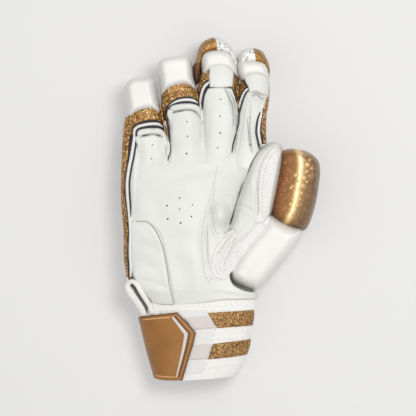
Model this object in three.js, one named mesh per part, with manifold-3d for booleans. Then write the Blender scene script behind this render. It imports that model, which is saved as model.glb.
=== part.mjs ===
// A right-hand cricket batting glove, lying on its padded back with the palm up.
// Millimetres. +Y runs from the cuff to the fingertips, +X towards the thumb, +Z up.
// Until the last lines, Y is measured from the wrist seam and Z from the surface it lies on.

import * as THREE from "three";
import { mergeVertices } from "three/addons/utils/BufferGeometryUtils.js";
import Module from "manifold-3d";

const wasm = await Module();
wasm.setup();

// Driving sizes of the hand.
const PALM_LENGTH = 113;
const PALM_WIDTH = 104;
const PALM_DEPTH = 30;
const FINGER_DEPTH = 24;
const FINGER_CURL = 6;
const LITTLE_LENGTH = 71;
const RING_LENGTH = 87;
const MIDDLE_LENGTH = 94;
const INDEX_LENGTH = 86;
const LITTLE_WIDTH = 31;
const RING_WIDTH = 27;
const MIDDLE_WIDTH = 26.5;
const INDEX_WIDTH = 25;
const THUMB_LENGTH = 100;
const THUMB_WIDTH = 29;
const THUMB_DEPTH = 26;

// Driving sizes of the walls and the padding.
const LEATHER = 2;
const PATCH = 1.2;
const GAP = 0.3;
const BACK_ROLL = 22;
const BACK_ROLL_SEAT = 4;
const TIP_ROLL = 10;
const TIP_ROLL_RISE = 3;
const TIP_ROLL_FOOT = 1;
const GUARD = 8;
const GUARD_HEIGHT = 42;
const GUARD_SIDE = 3;
const SEAT_FLAT = 1.5;
const SIDE_MESH_HEIGHT = 16;
const PIPING_WIDTH = 5;
const BINDING_RADIUS = 2.8;
const VENT_WIDTH = 2.4;
const THUMB_CAP_LENGTH = 66;
const THUMB_CAP_WIDTH = 38;
const THUMB_CAP_DEPTH = 44;
const THUMB_CAP_LIFT = 4;
const THUMB_ROLL_LENGTH = 60;
const THUMB_ROLL_WIDTH = 31;
const THUMB_ROLL_DEPTH = 53;
const THUMB_ROLL_LIFT = 3;

// Driving sizes of the cuff and its strap.
const CUFF_LENGTH = 60;
const CUFF_WIDTH = 92;
const CUFF_DEPTH = 40;
const CUFF_WALL = 4;
const STRAP_WIDTH = 44;
const STRAP = 2;

// How finely the rounded forms are faceted.
const PALM_SIDES = 16;
const PALM_STEPS = 8;
const THUMB_STEPS = 5;
const CUFF_STEPS = 4;
const FINGER_SIDES = 10;
const PILLOW_SIDES = 10;
const PILLOW_STEPS = 6;

// How square the sections are: 2 is an ellipse, and more is squarer.
const PALM_SQUARE = 2.6;
const FINGER_SQUARE = 2.5;
const THUMB_SQUARE = 2.3;
const CUFF_SQUARE = 2.3;
const PILLOW_SQUARE = 2.6;

// How blunt a pillow's ends are: 2 is round, and more is blunter.
const SHORT_ROLL_BLUNT = 3;
const LONG_ROLL_BLUNT = 4;
const TIP_ROLL_BLUNT = 3.5;
const THUMB_BLUNT = 3.5;

const FAR = 400;
const handFloor = BACK_ROLL + GAP;
const palmMiddle = handFloor + PALM_DEPTH / 2;

// Fingers: each stall's length and width, and where its middle line runs across the palm, as shares
// of the palm's width at its root, its knuckle and its tip. stall is the share of the stall's length
// where its leather ends, pad the share where the tip roll begins, and padWide the roll's width as a
// share of the finger's.
const FINGERS = [
  { name: "little", length: LITTLE_LENGTH, width: LITTLE_WIDTH, root: -0.44, knee: -0.475, tip: -0.49,
    stall: 0.51, pad: 0.71, padWide: 0.95 },
  { name: "ring", length: RING_LENGTH, width: RING_WIDTH, root: -0.15, knee: -0.185, tip: -0.245,
    stall: 0.65, pad: 0.84, padWide: 1 },
  { name: "middle", length: MIDDLE_LENGTH, width: MIDDLE_WIDTH, root: 0.06, knee: 0.08, tip: 0.07,
    stall: 0.77, pad: 0.9, padWide: 1.14 },
  { name: "index", length: INDEX_LENGTH, width: INDEX_WIDTH, root: 0.17, knee: 0.3, tip: 0.345,
    stall: 0.74, pad: 0.93, padWide: 1.02 },
];
const FINGER_RISE = 0.85;

// The long rolls on the back of the hand: where each one's middle lies across the palm, as a share
// of its width, and how far it leans, in degrees.
const HAND_ROLLS = [
  { name: "little", across: -0.49, turn: 5 },
  { name: "ring", across: -0.275, turn: 6 },
  { name: "middle", across: -0.06, turn: 7 },
  { name: "index", across: 0.155, turn: 8 },
];
const HAND_ROLL_WIDTH = 20.5;
const HAND_ROLL_FOOT = 0.07;

// Sections of the palm: along as a share of its length, left and right edges as shares of its
// width, deep as a share of its depth.
const PALM = [
  { along: -0.08, left: -0.44, right: 0.37, deep: 0.93 },
  { along: 0.02, left: -0.46, right: 0.37, deep: 0.93 },
  { along: 0.12, left: -0.57, right: 0.34, deep: 0.98 },
  { along: 0.26, left: -0.625, right: 0.28, deep: 1 },
  { along: 0.42, left: -0.63, right: 0.22, deep: 1 },
  { along: 0.57, left: -0.63, right: 0.165, deep: 1 },
  { along: 0.75, left: -0.625, right: 0.18, deep: 0.97 },
  { along: 0.9, left: -0.615, right: 0.25, deep: 0.92 },
  { along: 1.0, left: -0.6, right: 0.3, deep: 0.82 },
];

// Sections of the thumb: across as a share of the palm's width, along as a share of the thumb's
// length, wide and deep as shares of its own sizes, lift as a share of its depth.
const THUMB = [
  { across: 0.14, along: 0.0, wide: 1.0, deep: 0.95, lift: 0 },
  { across: 0.2, along: 0.22, wide: 1.05, deep: 1, lift: 0.05 },
  { across: 0.29, along: 0.46, wide: 1.02, deep: 1, lift: 0.12 },
  { across: 0.37, along: 0.68, wide: 0.95, deep: 0.95, lift: 0.18 },
  { across: 0.44, along: 0.88, wide: 0.82, deep: 0.86, lift: 0.2 },
];
const THUMB_START = 0.21;

// Sections of the cuff: along as a share of its length, left and right as shares of its width,
// deep as a share of its depth, drop as a share of its depth.
const CUFF = [
  { along: 0.1, left: -0.46, right: 0.425, deep: 0.72, drop: 0 },
  { along: -0.02, left: -0.49, right: 0.425, deep: 0.72, drop: 0 },
  { along: -0.2, left: -0.575, right: 0.4, deep: 0.82, drop: 0.08 },
  { along: -0.55, left: -0.53, right: 0.345, deep: 0.95, drop: 0.2 },
  { along: -0.95, left: -0.46, right: 0.29, deep: 1, drop: 0.26 },
  { along: -1.1, left: -0.44, right: 0.27, deep: 1, drop: 0.27 },
];

// Outlines of the sewn-on pieces: across as a share of the palm's width, along of its length.
const HEEL_PATCH = [[-0.7, 0.575], [-0.437, 0.568], [-0.346, 0.443], [-0.308, 0.291], [-0.256, 0.02],
  [-0.42, 0.02], [-0.5, 0.2], [-0.7, 0.26]];
const THUMB_SIDE_PATCH = [[0.075, 0.997], [0.037, 0.86], [0.015, 0.755], [-0.02, 0.7], [0.105, 0.69],
  [0.3, 0.69], [0.3, 0.92], [0.24, 0.997]];
const THUMB_GUSSET = [[-0.022, 0.69], [-0.037, 0.547], [-0.053, 0.304], [0.022, 0.317], [0.3, 0.52],
  [0.3, 0.56], [0.175, 0.6], [0.105, 0.682]];
const MESH_WEB = [[-0.05, 0.296], [-0.022, 0.166], [0.05, 0.1], [0.3, 0.1], [0.3, 0.512], [0.025, 0.308]];
const MESH_STRIP = [[0.504, 1.3], [0.504, 1.115], [0.407, 0.894], [0.368, 0.72], [0.339, 0.547],
  [0.33, 0.3], [0.9, 0.3], [0.9, 1.3]];

// Outlines on the cuff: across as a share of its width, along of its length.
const STRIPE_UPPER = [[0, -0.12], [0.7, -0.08], [0.7, -0.28], [0.08, -0.31]];
const STRIPE_LOWER = [[0.04, -0.51], [0.7, -0.47], [0.7, -0.67], [0, -0.71]];
const LOOP_PATCH = [[-0.3, -0.13], [-0.02, -0.13], [-0.02, -0.97], [-0.3, -0.97]];
const BADGE = [[-0.7, -0.18], [-0.26, -0.14], [-0.11, -0.42], [-0.22, -0.96], [-0.7, -0.96]];
const BINDING = [[-0.44, -0.02], [-0.53, 0.07], [-0.6, 0.17], [-0.565, 0.235], [-0.505, 0.19], [-0.43, 0.03]];

// Fingers that have an outer guard, and how wide the tab between stall and tip roll is, as a share of
// the finger's width.
const GUARDED = ["middle", "index"];
const TIP_STRAP_WIDE = 0.66;

// The middles of the thumb's two guards: across as a share of the palm's width, along of its length,
// turn in degrees.
const THUMB_CAP = { across: 0.665, along: 0.795, turn: -8 };
const THUMB_ROLL = { across: 0.445, along: 0.345, turn: -31 };

// The vent's two ends, as shares of the palm, and how far up the palm the thumb leaves it.
const VENT_TOP = [-0.585, 0.14];
const VENT_FOOT = [-0.44, -0.06];
const THUMB_CROTCH = 0.6;

// A closed geometry turned into a solid that can be joined and cut.
function solid(geometry) {
  const bare = geometry.clone();
  bare.deleteAttribute("normal");
  bare.deleteAttribute("uv");
  const merged = mergeVertices(bare, 1e-4);
  return new wasm.Manifold(
    new wasm.Mesh({
      numProp: 3,
      vertProperties: new Float32Array(merged.attributes.position.array),
      triVerts: new Uint32Array(merged.index.array),
    })
  );
}

function geometryOf(body) {
  const mesh = body.getMesh();
  const geometry = new THREE.BufferGeometry();
  geometry.setAttribute("position", new THREE.BufferAttribute(new Float32Array(mesh.vertProperties), 3));
  geometry.setIndex(new THREE.BufferAttribute(new Uint32Array(mesh.triVerts), 1));
  return geometry;
}

// A value between two rows of a table, smooth through all of them.
function spline(a, b, c, d, t) {
  const slope = (c - a) / 2;
  const nextSlope = (d - b) / 2;
  const bend = 3 * (c - b) - 2 * slope - nextSlope;
  const twist = 2 * (b - c) + slope + nextSlope;
  return b + t * (slope + t * (bend + t * twist));
}

function sectionAt(rows, share) {
  const place = share * (rows.length - 1);
  const index = Math.min(Math.floor(place), rows.length - 2);
  const row = (step) => rows[Math.min(Math.max(index + step, 0), rows.length - 1)];
  const result = {};
  for (const key of Object.keys(rows[0])) {
    result[key] = spline(row(-1)[key], row(0)[key], row(1)[key], row(2)[key], place - index);
  }
  return result;
}

// A closed skin through sections that each stand upright across Y.
function skin(sections, sides, square) {
  const positions = [];
  const index = [];
  for (const section of sections) {
    for (let side = 0; side < sides; side += 1) {
      const angle = (2 * Math.PI * (side + 0.5)) / sides;
      const across = Math.sign(Math.cos(angle)) * Math.abs(Math.cos(angle)) ** (2 / square);
      const up = Math.sign(Math.sin(angle)) * Math.abs(Math.sin(angle)) ** (2 / square);
      positions.push(section.x + section.wide * across, section.y, section.z + section.deep * up);
    }
  }
  const last = sections.length - 1;
  for (let ring = 0; ring < last; ring += 1) {
    for (let side = 0; side < sides; side += 1) {
      const next = (side + 1) % sides;
      const here = ring * sides;
      const there = here + sides;
      index.push(here + side, there + side, there + next);
      index.push(here + side, there + next, here + next);
    }
  }
  const start = sections[0];
  const end = sections[last];
  const startMiddle = positions.length / 3;
  positions.push(start.x, start.y, start.z, end.x, end.y, end.z);
  for (let side = 0; side < sides; side += 1) {
    const next = (side + 1) % sides;
    index.push(startMiddle, side, next);
    index.push(startMiddle + 1, last * sides + next, last * sides + side);
  }
  const geometry = new THREE.BufferGeometry();
  geometry.setAttribute("position", new THREE.Float32BufferAttribute(positions, 3));
  geometry.setIndex(index);
  return geometry;
}

// Sections that close to a round end past the last one.
function dome(sections, reach, steps) {
  const last = sections[sections.length - 1];
  const before = sections[sections.length - 2];
  const lean = (last.x - before.x) / (last.y - before.y);
  for (let step = 1; step <= steps; step += 1) {
    const angle = (step / steps) * 1.35;
    const y = last.y + reach * Math.sin(angle);
    const scale = Math.cos(angle);
    sections.push({ x: last.x + lean * (y - last.y), y, z: last.z, wide: last.wide * scale, deep: last.deep * scale });
  }
  return sections;
}

function curlAt(finger, share) {
  return FINGER_CURL * share * share * (finger.length / MIDDLE_LENGTH);
}

function rootOf() {
  return FINGER_RISE * PALM_LENGTH;
}

// The middle line of a finger, across and up, at a share of the way from root to tip.
function fingerAt(finger, share) {
  const rows = [{ x: finger.root }, { x: finger.knee }, { x: finger.tip }];
  const bent = share < 0.3 ? share / 0.6 : 0.5 + (share - 0.3) / 1.4;
  return {
    x: sectionAt(rows, bent).x * PALM_WIDTH,
    y: rootOf() + share * finger.length,
    z: handFloor + FINGER_DEPTH / 2 + curlAt(finger, share),
  };
}

function fingerForm(finger, grow) {
  const sections = [];
  for (const share of [0, 0.16, 0.32, 0.56, 0.8]) {
    const place = fingerAt(finger, share);
    const wide = (finger.width / 2) * (share === 0 ? 0.88 : 1 - 0.3 * share * share);
    const deep = (FINGER_DEPTH / 2) * (1 - 0.08 * share);
    sections.push({ ...place, wide: wide + grow, deep: deep + grow });
  }
  return solid(skin(dome(sections, 0.2 * finger.length + grow, 2), FINGER_SIDES, FINGER_SQUARE));
}

function palmForm(grow) {
  const sections = [];
  for (let step = 0; step <= PALM_STEPS; step += 1) {
    const row = sectionAt(PALM, step / PALM_STEPS);
    const wide = ((row.right - row.left) / 2) * PALM_WIDTH;
    sections.push({
      x: ((row.right + row.left) / 2) * PALM_WIDTH,
      y: row.along * PALM_LENGTH + (step === PALM_STEPS ? grow : 0),
      z: handFloor + (PALM_DEPTH * row.deep) / 2,
      wide: wide + grow,
      deep: (PALM_DEPTH * row.deep) / 2 + grow,
    });
  }
  return solid(skin(sections, PALM_SIDES, PALM_SQUARE));
}

function handForm(grow) {
  return FINGERS.reduce((body, finger) => body.add(fingerForm(finger, grow)), palmForm(grow));
}

function thumbForm(grow) {
  const sections = [];
  for (let step = 0; step <= THUMB_STEPS; step += 1) {
    const row = sectionAt(THUMB, step / THUMB_STEPS);
    sections.push({
      x: row.across * PALM_WIDTH,
      y: THUMB_START * PALM_LENGTH + row.along * THUMB_LENGTH,
      z: palmMiddle + row.lift * THUMB_DEPTH,
      wide: (row.wide * THUMB_WIDTH) / 2 + grow,
      deep: (row.deep * THUMB_DEPTH) / 2 + grow,
    });
  }
  return solid(skin(dome(sections, 0.12 * THUMB_LENGTH + grow, 2), FINGER_SIDES, THUMB_SQUARE));
}

function cuffForm(grow) {
  const sections = [];
  for (let step = CUFF_STEPS; step >= 0; step -= 1) {
    const row = sectionAt(CUFF, step / CUFF_STEPS);
    sections.push({
      x: ((row.right + row.left) / 2) * CUFF_WIDTH,
      y: row.along * CUFF_LENGTH,
      z: palmMiddle - row.drop * CUFF_DEPTH,
      wide: ((row.right - row.left) / 2) * CUFF_WIDTH + grow,
      deep: (row.deep * CUFF_DEPTH) / 2 + grow,
    });
  }
  return solid(skin(sections, PALM_SIDES, CUFF_SQUARE));
}

// The height of the palm's upper surface at a point of the plan.
function palmSurface(x, y) {
  let row = sectionAt(PALM, 0);
  for (let share = 0; share <= 1 && row.along * PALM_LENGTH < y; share += 0.01) {
    row = sectionAt(PALM, share);
  }
  const middle = ((row.right + row.left) / 2) * PALM_WIDTH;
  const wide = ((row.right - row.left) / 2) * PALM_WIDTH;
  const across = Math.min(Math.abs(x - middle) / wide, 0.97);
  const half = (PALM_DEPTH * row.deep) / 2;
  return handFloor + half + half * (1 - across ** PALM_SQUARE) ** (1 / PALM_SQUARE);
}

// A padded roll with round ends, lying along Y and turned about Z.
function pillow(size) {
  const sections = [];
  for (let step = 0; step <= PILLOW_STEPS; step += 1) {
    const run = -Math.cos((Math.PI * (step + 0.25)) / (PILLOW_STEPS + 0.5));
    const scale = (1 - Math.abs(run) ** size.blunt) ** (1 / size.blunt);
    sections.push({
      x: 0,
      y: (run * size.length) / 2,
      z: 0,
      wide: (size.width / 2) * scale,
      deep: (size.height / 2) * scale,
    });
  }
  const geometry = skin(sections, PILLOW_SIDES, PILLOW_SQUARE);
  geometry.rotateZ(THREE.MathUtils.degToRad(size.turn ?? 0));
  geometry.translate(size.x, size.y, size.z);
  return solid(geometry);
}

// Cutting regions: an upright prism over an outline, and a box.
function prism(points, low, high) {
  const shape = new THREE.Shape(points.map(([x, y]) => new THREE.Vector2(x, y)));
  const geometry = new THREE.ExtrudeGeometry(shape, { depth: high - low, bevelEnabled: false });
  geometry.translate(0, 0, low);
  return solid(geometry);
}

function block(low, high) {
  const geometry = new THREE.BoxGeometry(high[0] - low[0], high[1] - low[1], high[2] - low[2]);
  geometry.translate((high[0] + low[0]) / 2, (high[1] + low[1]) / 2, (high[2] + low[2]) / 2);
  return solid(geometry);
}

const onPalm = (rows) => rows.map(([across, along]) => [across * PALM_WIDTH, along * PALM_LENGTH]);
const onCuff = (rows) => rows.map(([across, along]) => [across * CUFF_WIDTH, along * CUFF_LENGTH]);

// The band of side mesh: it follows the curl of the fingers.
function sideBand(shrink) {
  const middle = handFloor + FINGER_DEPTH / 2;
  const half = SIDE_MESH_HEIGHT / 2 - shrink;
  const rise = [-FAR, rootOf(), rootOf() + MIDDLE_LENGTH, FAR];
  const lift = [0, 0, FINGER_CURL, FINGER_CURL];
  const top = rise.map((y, index) => [y, middle + half + lift[index]]);
  const bottom = rise.map((y, index) => [y, middle - half + lift[index]]).reverse();
  const shape = new THREE.Shape([...top, ...bottom].map(([y, z]) => new THREE.Vector2(y, z)));
  const geometry = new THREE.ExtrudeGeometry(shape, { depth: 2 * FAR, bevelEnabled: false });
  geometry.translate(0, 0, -FAR);
  geometry.applyMatrix4(new THREE.Matrix4().set(0, 0, 1, 0, 1, 0, 0, 0, 0, 1, 0, 0, 0, 0, 0, 1));
  return solid(geometry);
}

// The line between two neighbouring fingers, from the palm to past the tips.
function lineBetween(left, right, shift) {
  const points = [];
  for (const share of [0, 0.3, 0.6, 1.3]) {
    const a = fingerAt(left, share);
    const b = fingerAt(right, share);
    const x = (a.x + left.width / 2 + b.x - right.width / 2) / 2;
    points.push([x + shift, (a.y + b.y) / 2]);
  }
  points[0][1] = -FAR;
  points[3][1] = FAR;
  return points;
}

// The strip of the plan that belongs to one finger.
function lane(position) {
  const left = position === 0
    ? [[-FAR, -FAR], [-FAR, FAR]]
    : lineBetween(FINGERS[position - 1], FINGERS[position], GAP / 2);
  const right = position === FINGERS.length - 1
    ? [[FAR, -FAR], [FAR, FAR]]
    : lineBetween(FINGERS[position], FINGERS[position + 1], -GAP / 2);
  return prism([...left, ...right.reverse()], -FAR, FAR);
}

// The line along the middle of a finger, carried on to the wrist.
function middleLine(position, shift) {
  const points = [0, 0.3, 0.6, 1].map((share) => {
    const place = fingerAt(FINGERS[position], share);
    return [place.x + shift, place.y];
  });
  const wrist = (0.03 * position - 0.1) * PALM_WIDTH + shift;
  return [[wrist, -FAR], [wrist, 0], ...points, [points[3][0], FAR]];
}

const beyond = (y) => block([-FAR, y, -FAR], [FAR, FAR, FAR]);
const before = (y) => block([-FAR, -FAR, -FAR], [FAR, y, FAR]);
const above = (z) => block([-FAR, -FAR, z], [FAR, FAR, FAR]);

const stallEnd = (finger) => rootOf() + finger.stall * finger.length;
const padStart = (finger) => rootOf() + finger.pad * finger.length;

// An arch across a finger's lane: the rounded line where a stall's leather or piping ends.
function archRegion(position, y) {
  const finger = FINGERS[position];
  const place = fingerAt(finger, (y - rootOf()) / finger.length);
  const half = finger.width / 2;
  const points = [[place.x - 2 * half, -FAR]];
  for (let step = 0; step <= 8; step += 1) {
    const across = -1 + step / 4;
    points.push([place.x + across * half * 1.25, y - 0.35 * half * across * across]);
  }
  points.push([place.x + 2 * half, -FAR]);
  return prism(points, -FAR, FAR).intersect(lane(position));
}

const outer = handForm(0);
const wall = outer.subtract(handForm(-LEATHER)).intersect(beyond(GAP / 2));
const clearOfHand = handForm(GAP);
const thumbOuter = thumbForm(0);
const thumbInner = thumbForm(-LEATHER);
const clearOfThumb = thumbForm(GAP);
const cuffOuter = cuffForm(0);
const clearOfCuff = cuffForm(GAP);

// The vent at the wrist is a slot from the palm's edge down to the cuff.
const [ventTop, ventFoot] = onPalm([VENT_TOP, VENT_FOOT]);
const vent = prism(
  [ventTop, [ventFoot[0] - VENT_WIDTH / 2, ventFoot[1]], [ventFoot[0] + VENT_WIDTH / 2, ventFoot[1]],
    [ventTop[0] + VENT_WIDTH, ventTop[1] - VENT_WIDTH / 2]],
  palmMiddle,
  FAR
);
const opened = wall.subtract(thumbInner).subtract(vent);

const pieces = [];
function piece(name, body, colour, roughness, metalness) {
  pieces.push({ name, body, colour, roughness, metalness });
}
const leather = [0xe9e9e2, 0.6, 0];
const softLeather = [0xf3f2ee, 0.55, 0];
const goldMesh = [0xb4823c, 0.45, 0.5];
const whiteMesh = [0xeeeeea, 0.8, 0];
const whiteCloth = [0xf4f4f2, 0.9, 0];

// The largest body of a cut, without the crumbs that a cut can leave.
function largest(body) {
  return body.decompose().reduce((best, next) => (next.volume() > best.volume() ? next : best));
}

// Ends of the stalls: mesh from the piping outwards, and piping over the leather's end.
const fingers = beyond(rootOf());
const middleHeight = handFloor + FINGER_DEPTH / 2;
const upperHalf = above(middleHeight);
const wideBand = sideBand(-GAP);
let shortened = opened;
let palmLeather = opened.intersect(upperHalf).subtract(wideBand);
FINGERS.forEach((finger, position) => {
  const own = opened.intersect(lane(position)).intersect(fingers);
  const end = stallEnd(finger);
  const meshBody = own.subtract(archRegion(position, end + PIPING_WIDTH + GAP / 2));
  piece(`${finger.name}_tip_mesh`, meshBody, ...goldMesh);
  const arch = archRegion(position, end + PIPING_WIDTH - GAP / 2).subtract(archRegion(position, end + GAP / 2));
  const piping = own.intersect(arch).intersect(upperHalf).subtract(wideBand);
  piece(`${finger.name}_piping`, piping, 0x2b2a33, 0.6, 0);
  const ownStrip = lane(position).intersect(fingers);
  shortened = shortened.subtract(ownStrip.subtract(archRegion(position, end + PIPING_WIDTH - GAP / 2)));
  palmLeather = palmLeather.subtract(ownStrip.subtract(archRegion(position, end - GAP / 2)));
});
piece("palm_leather", palmLeather, ...leather);

// Below the thumb there is no side mesh: the back panel reaches up to the palm leather.
const thumbCrotch = THUMB_CROTCH * PALM_LENGTH;
const thumbSide = block([0, -FAR, -FAR], [FAR, thumbCrotch, middleHeight + SIDE_MESH_HEIGHT / 2]);
const lowerHalf = above(-FAR).subtract(above(middleHeight)).subtract(wideBand);
const backRegion = lowerHalf.add(thumbSide);
piece("back_panel", shortened.intersect(backRegion), ...leather);

// Side mesh: the band of the wall, parted along the middle line of each finger.
const clearOfThumbSide = block([-GAP, -FAR, -FAR], [FAR, thumbCrotch + GAP, FAR]);
const bandWall = shortened.intersect(sideBand(0)).subtract(clearOfThumbSide);
const meshNames = [
  "outer_side_mesh",
  "web_little_ring",
  "web_ring_middle",
  "web_middle_index",
  "index_side_mesh",
];
meshNames.forEach((name, position) => {
  const left = position === 0 ? [[-FAR, -FAR], [-FAR, FAR]] : middleLine(position - 1, GAP / 2);
  const right = position === FINGERS.length ? [[FAR, -FAR], [FAR, FAR]] : middleLine(position, -GAP / 2);
  const region = prism([...left, ...right.reverse()], -FAR, FAR);
  piece(name, bandWall.intersect(region), ...goldMesh);
});

// Pieces sewn on top of the palm, each a thin layer that follows the leather.
const layer = handForm(GAP + PATCH).subtract(clearOfHand).intersect(beyond(GAP));
const seamHeight = middleHeight + SIDE_MESH_HEIGHT / 2;
const onTop = above(seamHeight + 2);
const pipingStrip = block(
  [-FAR, ventTop[1] + BINDING_RADIUS * 2, seamHeight - 1.5],
  [-0.5 * PALM_WIDTH, stallEnd(FINGERS[0]), seamHeight + 1.5]
);
piece("outer_piping", layer.intersect(pipingStrip), 0x2b2a33, 0.6, 0);
piece("heel_patch", layer.intersect(prism(onPalm(HEEL_PATCH), -FAR, FAR)).intersect(onTop), ...leather);
const sidePatch = layer.intersect(prism(onPalm(THUMB_SIDE_PATCH), -FAR, FAR)).intersect(onTop);
piece("thumb_side_patch", sidePatch.subtract(clearOfThumb), ...leather);

// The thumb: a leather sleeve with a mesh strip along its outer side, and the pieces at its root.
const clearOfBody = clearOfHand.add(clearOfThumb);
const skinLayer = handForm(GAP + PATCH).add(thumbForm(GAP + PATCH)).subtract(clearOfBody);
const gussetLayer = skinLayer.intersect(onTop);
const web = prism(onPalm(MESH_WEB), -FAR, FAR);
piece("thumb_gusset", gussetLayer.intersect(prism(onPalm(THUMB_GUSSET), -FAR, FAR)), ...leather);
piece("thumb_mesh_web", gussetLayer.intersect(web), ...whiteMesh);
const sleeve = thumbOuter.subtract(thumbInner).subtract(clearOfHand);
const strip = prism(onPalm(MESH_STRIP), -FAR, FAR);
const stripGap = prism(onPalm(MESH_STRIP.map(([across, along]) => [across - GAP / PALM_WIDTH, along])), -FAR, FAR);
piece("thumb_sleeve", sleeve.subtract(stripGap), ...leather);
piece("thumb_mesh_strip", sleeve.intersect(strip), ...whiteMesh);

// Padded rolls under the fingers and the hand. Each is flattened where it rests.
const ground = above(0);
const rollHeight = BACK_ROLL + BACK_ROLL_SEAT + SEAT_FLAT;
const rollMiddle = rollHeight / 2 - SEAT_FLAT;
FINGERS.forEach((finger, position) => {
  const from = rootOf() + GAP;
  const to = padStart(finger) - GAP;
  const span = (to - from) / 2;
  ["base", "mid"].forEach((part, order) => {
    const low = from + order * span;
    const place = fingerAt(finger, (low + span / 2 - rootOf()) / finger.length);
    const roll = pillow({
      x: place.x,
      y: place.y,
      z: rollMiddle,
      width: finger.width * 0.96,
      length: span - GAP,
      height: rollHeight,
      blunt: SHORT_ROLL_BLUNT,
    });
    const seated = roll.subtract(clearOfBody).intersect(ground).intersect(lane(position));
    piece(`${finger.name}_${part}_roll`, seated, ...softLeather);
  });
});
const handRollLength = rootOf() - HAND_ROLL_FOOT * PALM_LENGTH - GAP;
const handRolls = HAND_ROLLS.map((row, position) => {
  const roll = pillow({
    x: row.across * PALM_WIDTH,
    y: rootOf() - GAP - handRollLength / 2,
    z: rollMiddle,
    width: HAND_ROLL_WIDTH,
    length: handRollLength - GAP,
    height: rollHeight,
    blunt: LONG_ROLL_BLUNT,
    turn: row.turn,
  });
  const seated = roll.subtract(clearOfBody).intersect(ground).intersect(before(rootOf()));
  piece(`${FINGERS[position].name}_hand_roll`, seated, ...softLeather);
  return roll;
});

// Tip rolls fold over the finger ends, and two of them have an outer guard.
FINGERS.forEach((finger, position) => {
  const start = padStart(finger);
  const end = rootOf() + finger.length + TIP_ROLL;
  const place = fingerAt(finger, finger.pad);
  const tip = fingerAt(finger, 1);
  const top = place.z + FINGER_DEPTH / 2 + TIP_ROLL_RISE;
  const size = {
    x: (place.x + tip.x) / 2,
    y: (start + end) / 2,
    z: (top + TIP_ROLL_FOOT) / 2,
    width: finger.width * finger.padWide,
    length: end - start,
    height: top - TIP_ROLL_FOOT,
    blunt: TIP_ROLL_BLUNT,
  };
  const roll = pillow(size).subtract(clearOfHand).intersect(lane(position));
  piece(`${finger.name}_tip_roll`, roll, ...softLeather);
  if (!GUARDED.includes(finger.name)) {
    return;
  }
  const around = pillow({
    ...size,
    y: size.y + GUARD / 2 + GAP,
    z: GUARD_HEIGHT / 2 - SEAT_FLAT,
    width: size.width + 2 * GUARD_SIDE,
    length: size.length + GUARD,
    height: GUARD_HEIGHT,
  });
  const inside = pillow({
    ...size,
    width: size.width + 2 * GAP,
    length: size.length + 2 * GAP,
    height: size.height + 2 * GAP,
  });
  const guard = around.subtract(inside).subtract(clearOfHand).intersect(ground).intersect(lane(position));
  piece(`${finger.name}_guard`, guard.intersect(beyond(start + GAP)), 0xb8863f, 0.4, 0.5);
  const half = (finger.width * TIP_STRAP_WIDE) / 2;
  const tab = [[-half, 0], [half, 0], [half, 1], [-half, 1]].map(([side, end01]) => {
    const y = end01 ? start - GAP : stallEnd(finger);
    const along = fingerAt(finger, (y - rootOf()) / finger.length);
    return [along.x + side, y];
  });
  const strap = layer.intersect(prism(tab, middleHeight + 4, FAR));
  piece(`${finger.name}_tip_strap`, strap, ...leather);
});

// The thumb's two guards lie outside its sleeve.
const cap = {
  x: THUMB_CAP.across * PALM_WIDTH,
  y: THUMB_CAP.along * PALM_LENGTH,
  z: THUMB_CAP_DEPTH / 2 + THUMB_CAP_LIFT,
  width: THUMB_CAP_WIDTH,
  length: THUMB_CAP_LENGTH,
  height: THUMB_CAP_DEPTH,
  blunt: THUMB_BLUNT,
  turn: THUMB_CAP.turn,
};
piece("thumb_cap", pillow(cap).subtract(clearOfBody), 0xc08a40, 0.25, 0.9);
const clearCap = pillow({
  ...cap,
  width: cap.width + 2 * GAP,
  length: cap.length + 2 * GAP,
  height: cap.height + 2 * GAP,
});
const thumbRoll = pillow({
  x: THUMB_ROLL.across * PALM_WIDTH,
  y: THUMB_ROLL.along * PALM_LENGTH,
  z: THUMB_ROLL_DEPTH / 2 + THUMB_ROLL_LIFT,
  width: THUMB_ROLL_WIDTH,
  length: THUMB_ROLL_LENGTH,
  height: THUMB_ROLL_DEPTH,
  blunt: THUMB_BLUNT,
  turn: THUMB_ROLL.turn,
});
const aroundPatches = handForm(2 * GAP + PATCH).add(thumbForm(2 * GAP + PATCH));
const rollSeat = aroundPatches.add(clearCap).add(handRolls[3].add(clearOfCuff));
piece("thumb_roll", thumbRoll.subtract(rollSeat), ...softLeather);

// The cuff, with what is sewn on it.
const cuffTube = cuffOuter.subtract(cuffForm(-CUFF_WALL));
const cuff = cuffTube.intersect(before(-GAP / 2)).intersect(beyond(-CUFF_LENGTH));
piece("cuff_band", cuff, ...whiteCloth);
const cuffLayer = cuffForm(GAP + PATCH).subtract(clearOfCuff).intersect(before(-GAP)).intersect(beyond(-CUFF_LENGTH));
for (const [name, rows] of [["cuff_stripe_upper", STRIPE_UPPER], ["cuff_stripe_lower", STRIPE_LOWER]]) {
  piece(name, cuffLayer.intersect(prism(onCuff(rows), -FAR, FAR)), 0xb48246, 0.7, 0.2);
}
const palmSide = above(palmMiddle + 2);
const loop = cuffLayer.intersect(prism(onCuff(LOOP_PATCH), -FAR, FAR)).intersect(palmSide);
piece("loop_patch", loop, 0xe9e6e6, 0.95, 0);
const badgeLayer = cuffForm(2 * GAP + PATCH + STRAP).subtract(cuffForm(2 * GAP + PATCH));
const badge = badgeLayer.intersect(prism(onCuff(BADGE), -FAR, FAR)).intersect(palmSide);
piece("strap_badge", badge, 0xa06a2d, 0.45, 0.3);
const strapLayer = cuffForm(GAP + STRAP).subtract(clearOfCuff);
const strapRegion = block(
  [-FAR, -0.5 * CUFF_LENGTH - STRAP_WIDTH / 2, -FAR],
  [-GAP, -0.5 * CUFF_LENGTH + STRAP_WIDTH / 2, palmMiddle + 2 - GAP]
);
piece("wrist_strap", strapLayer.intersect(strapRegion), ...whiteCloth);

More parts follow.
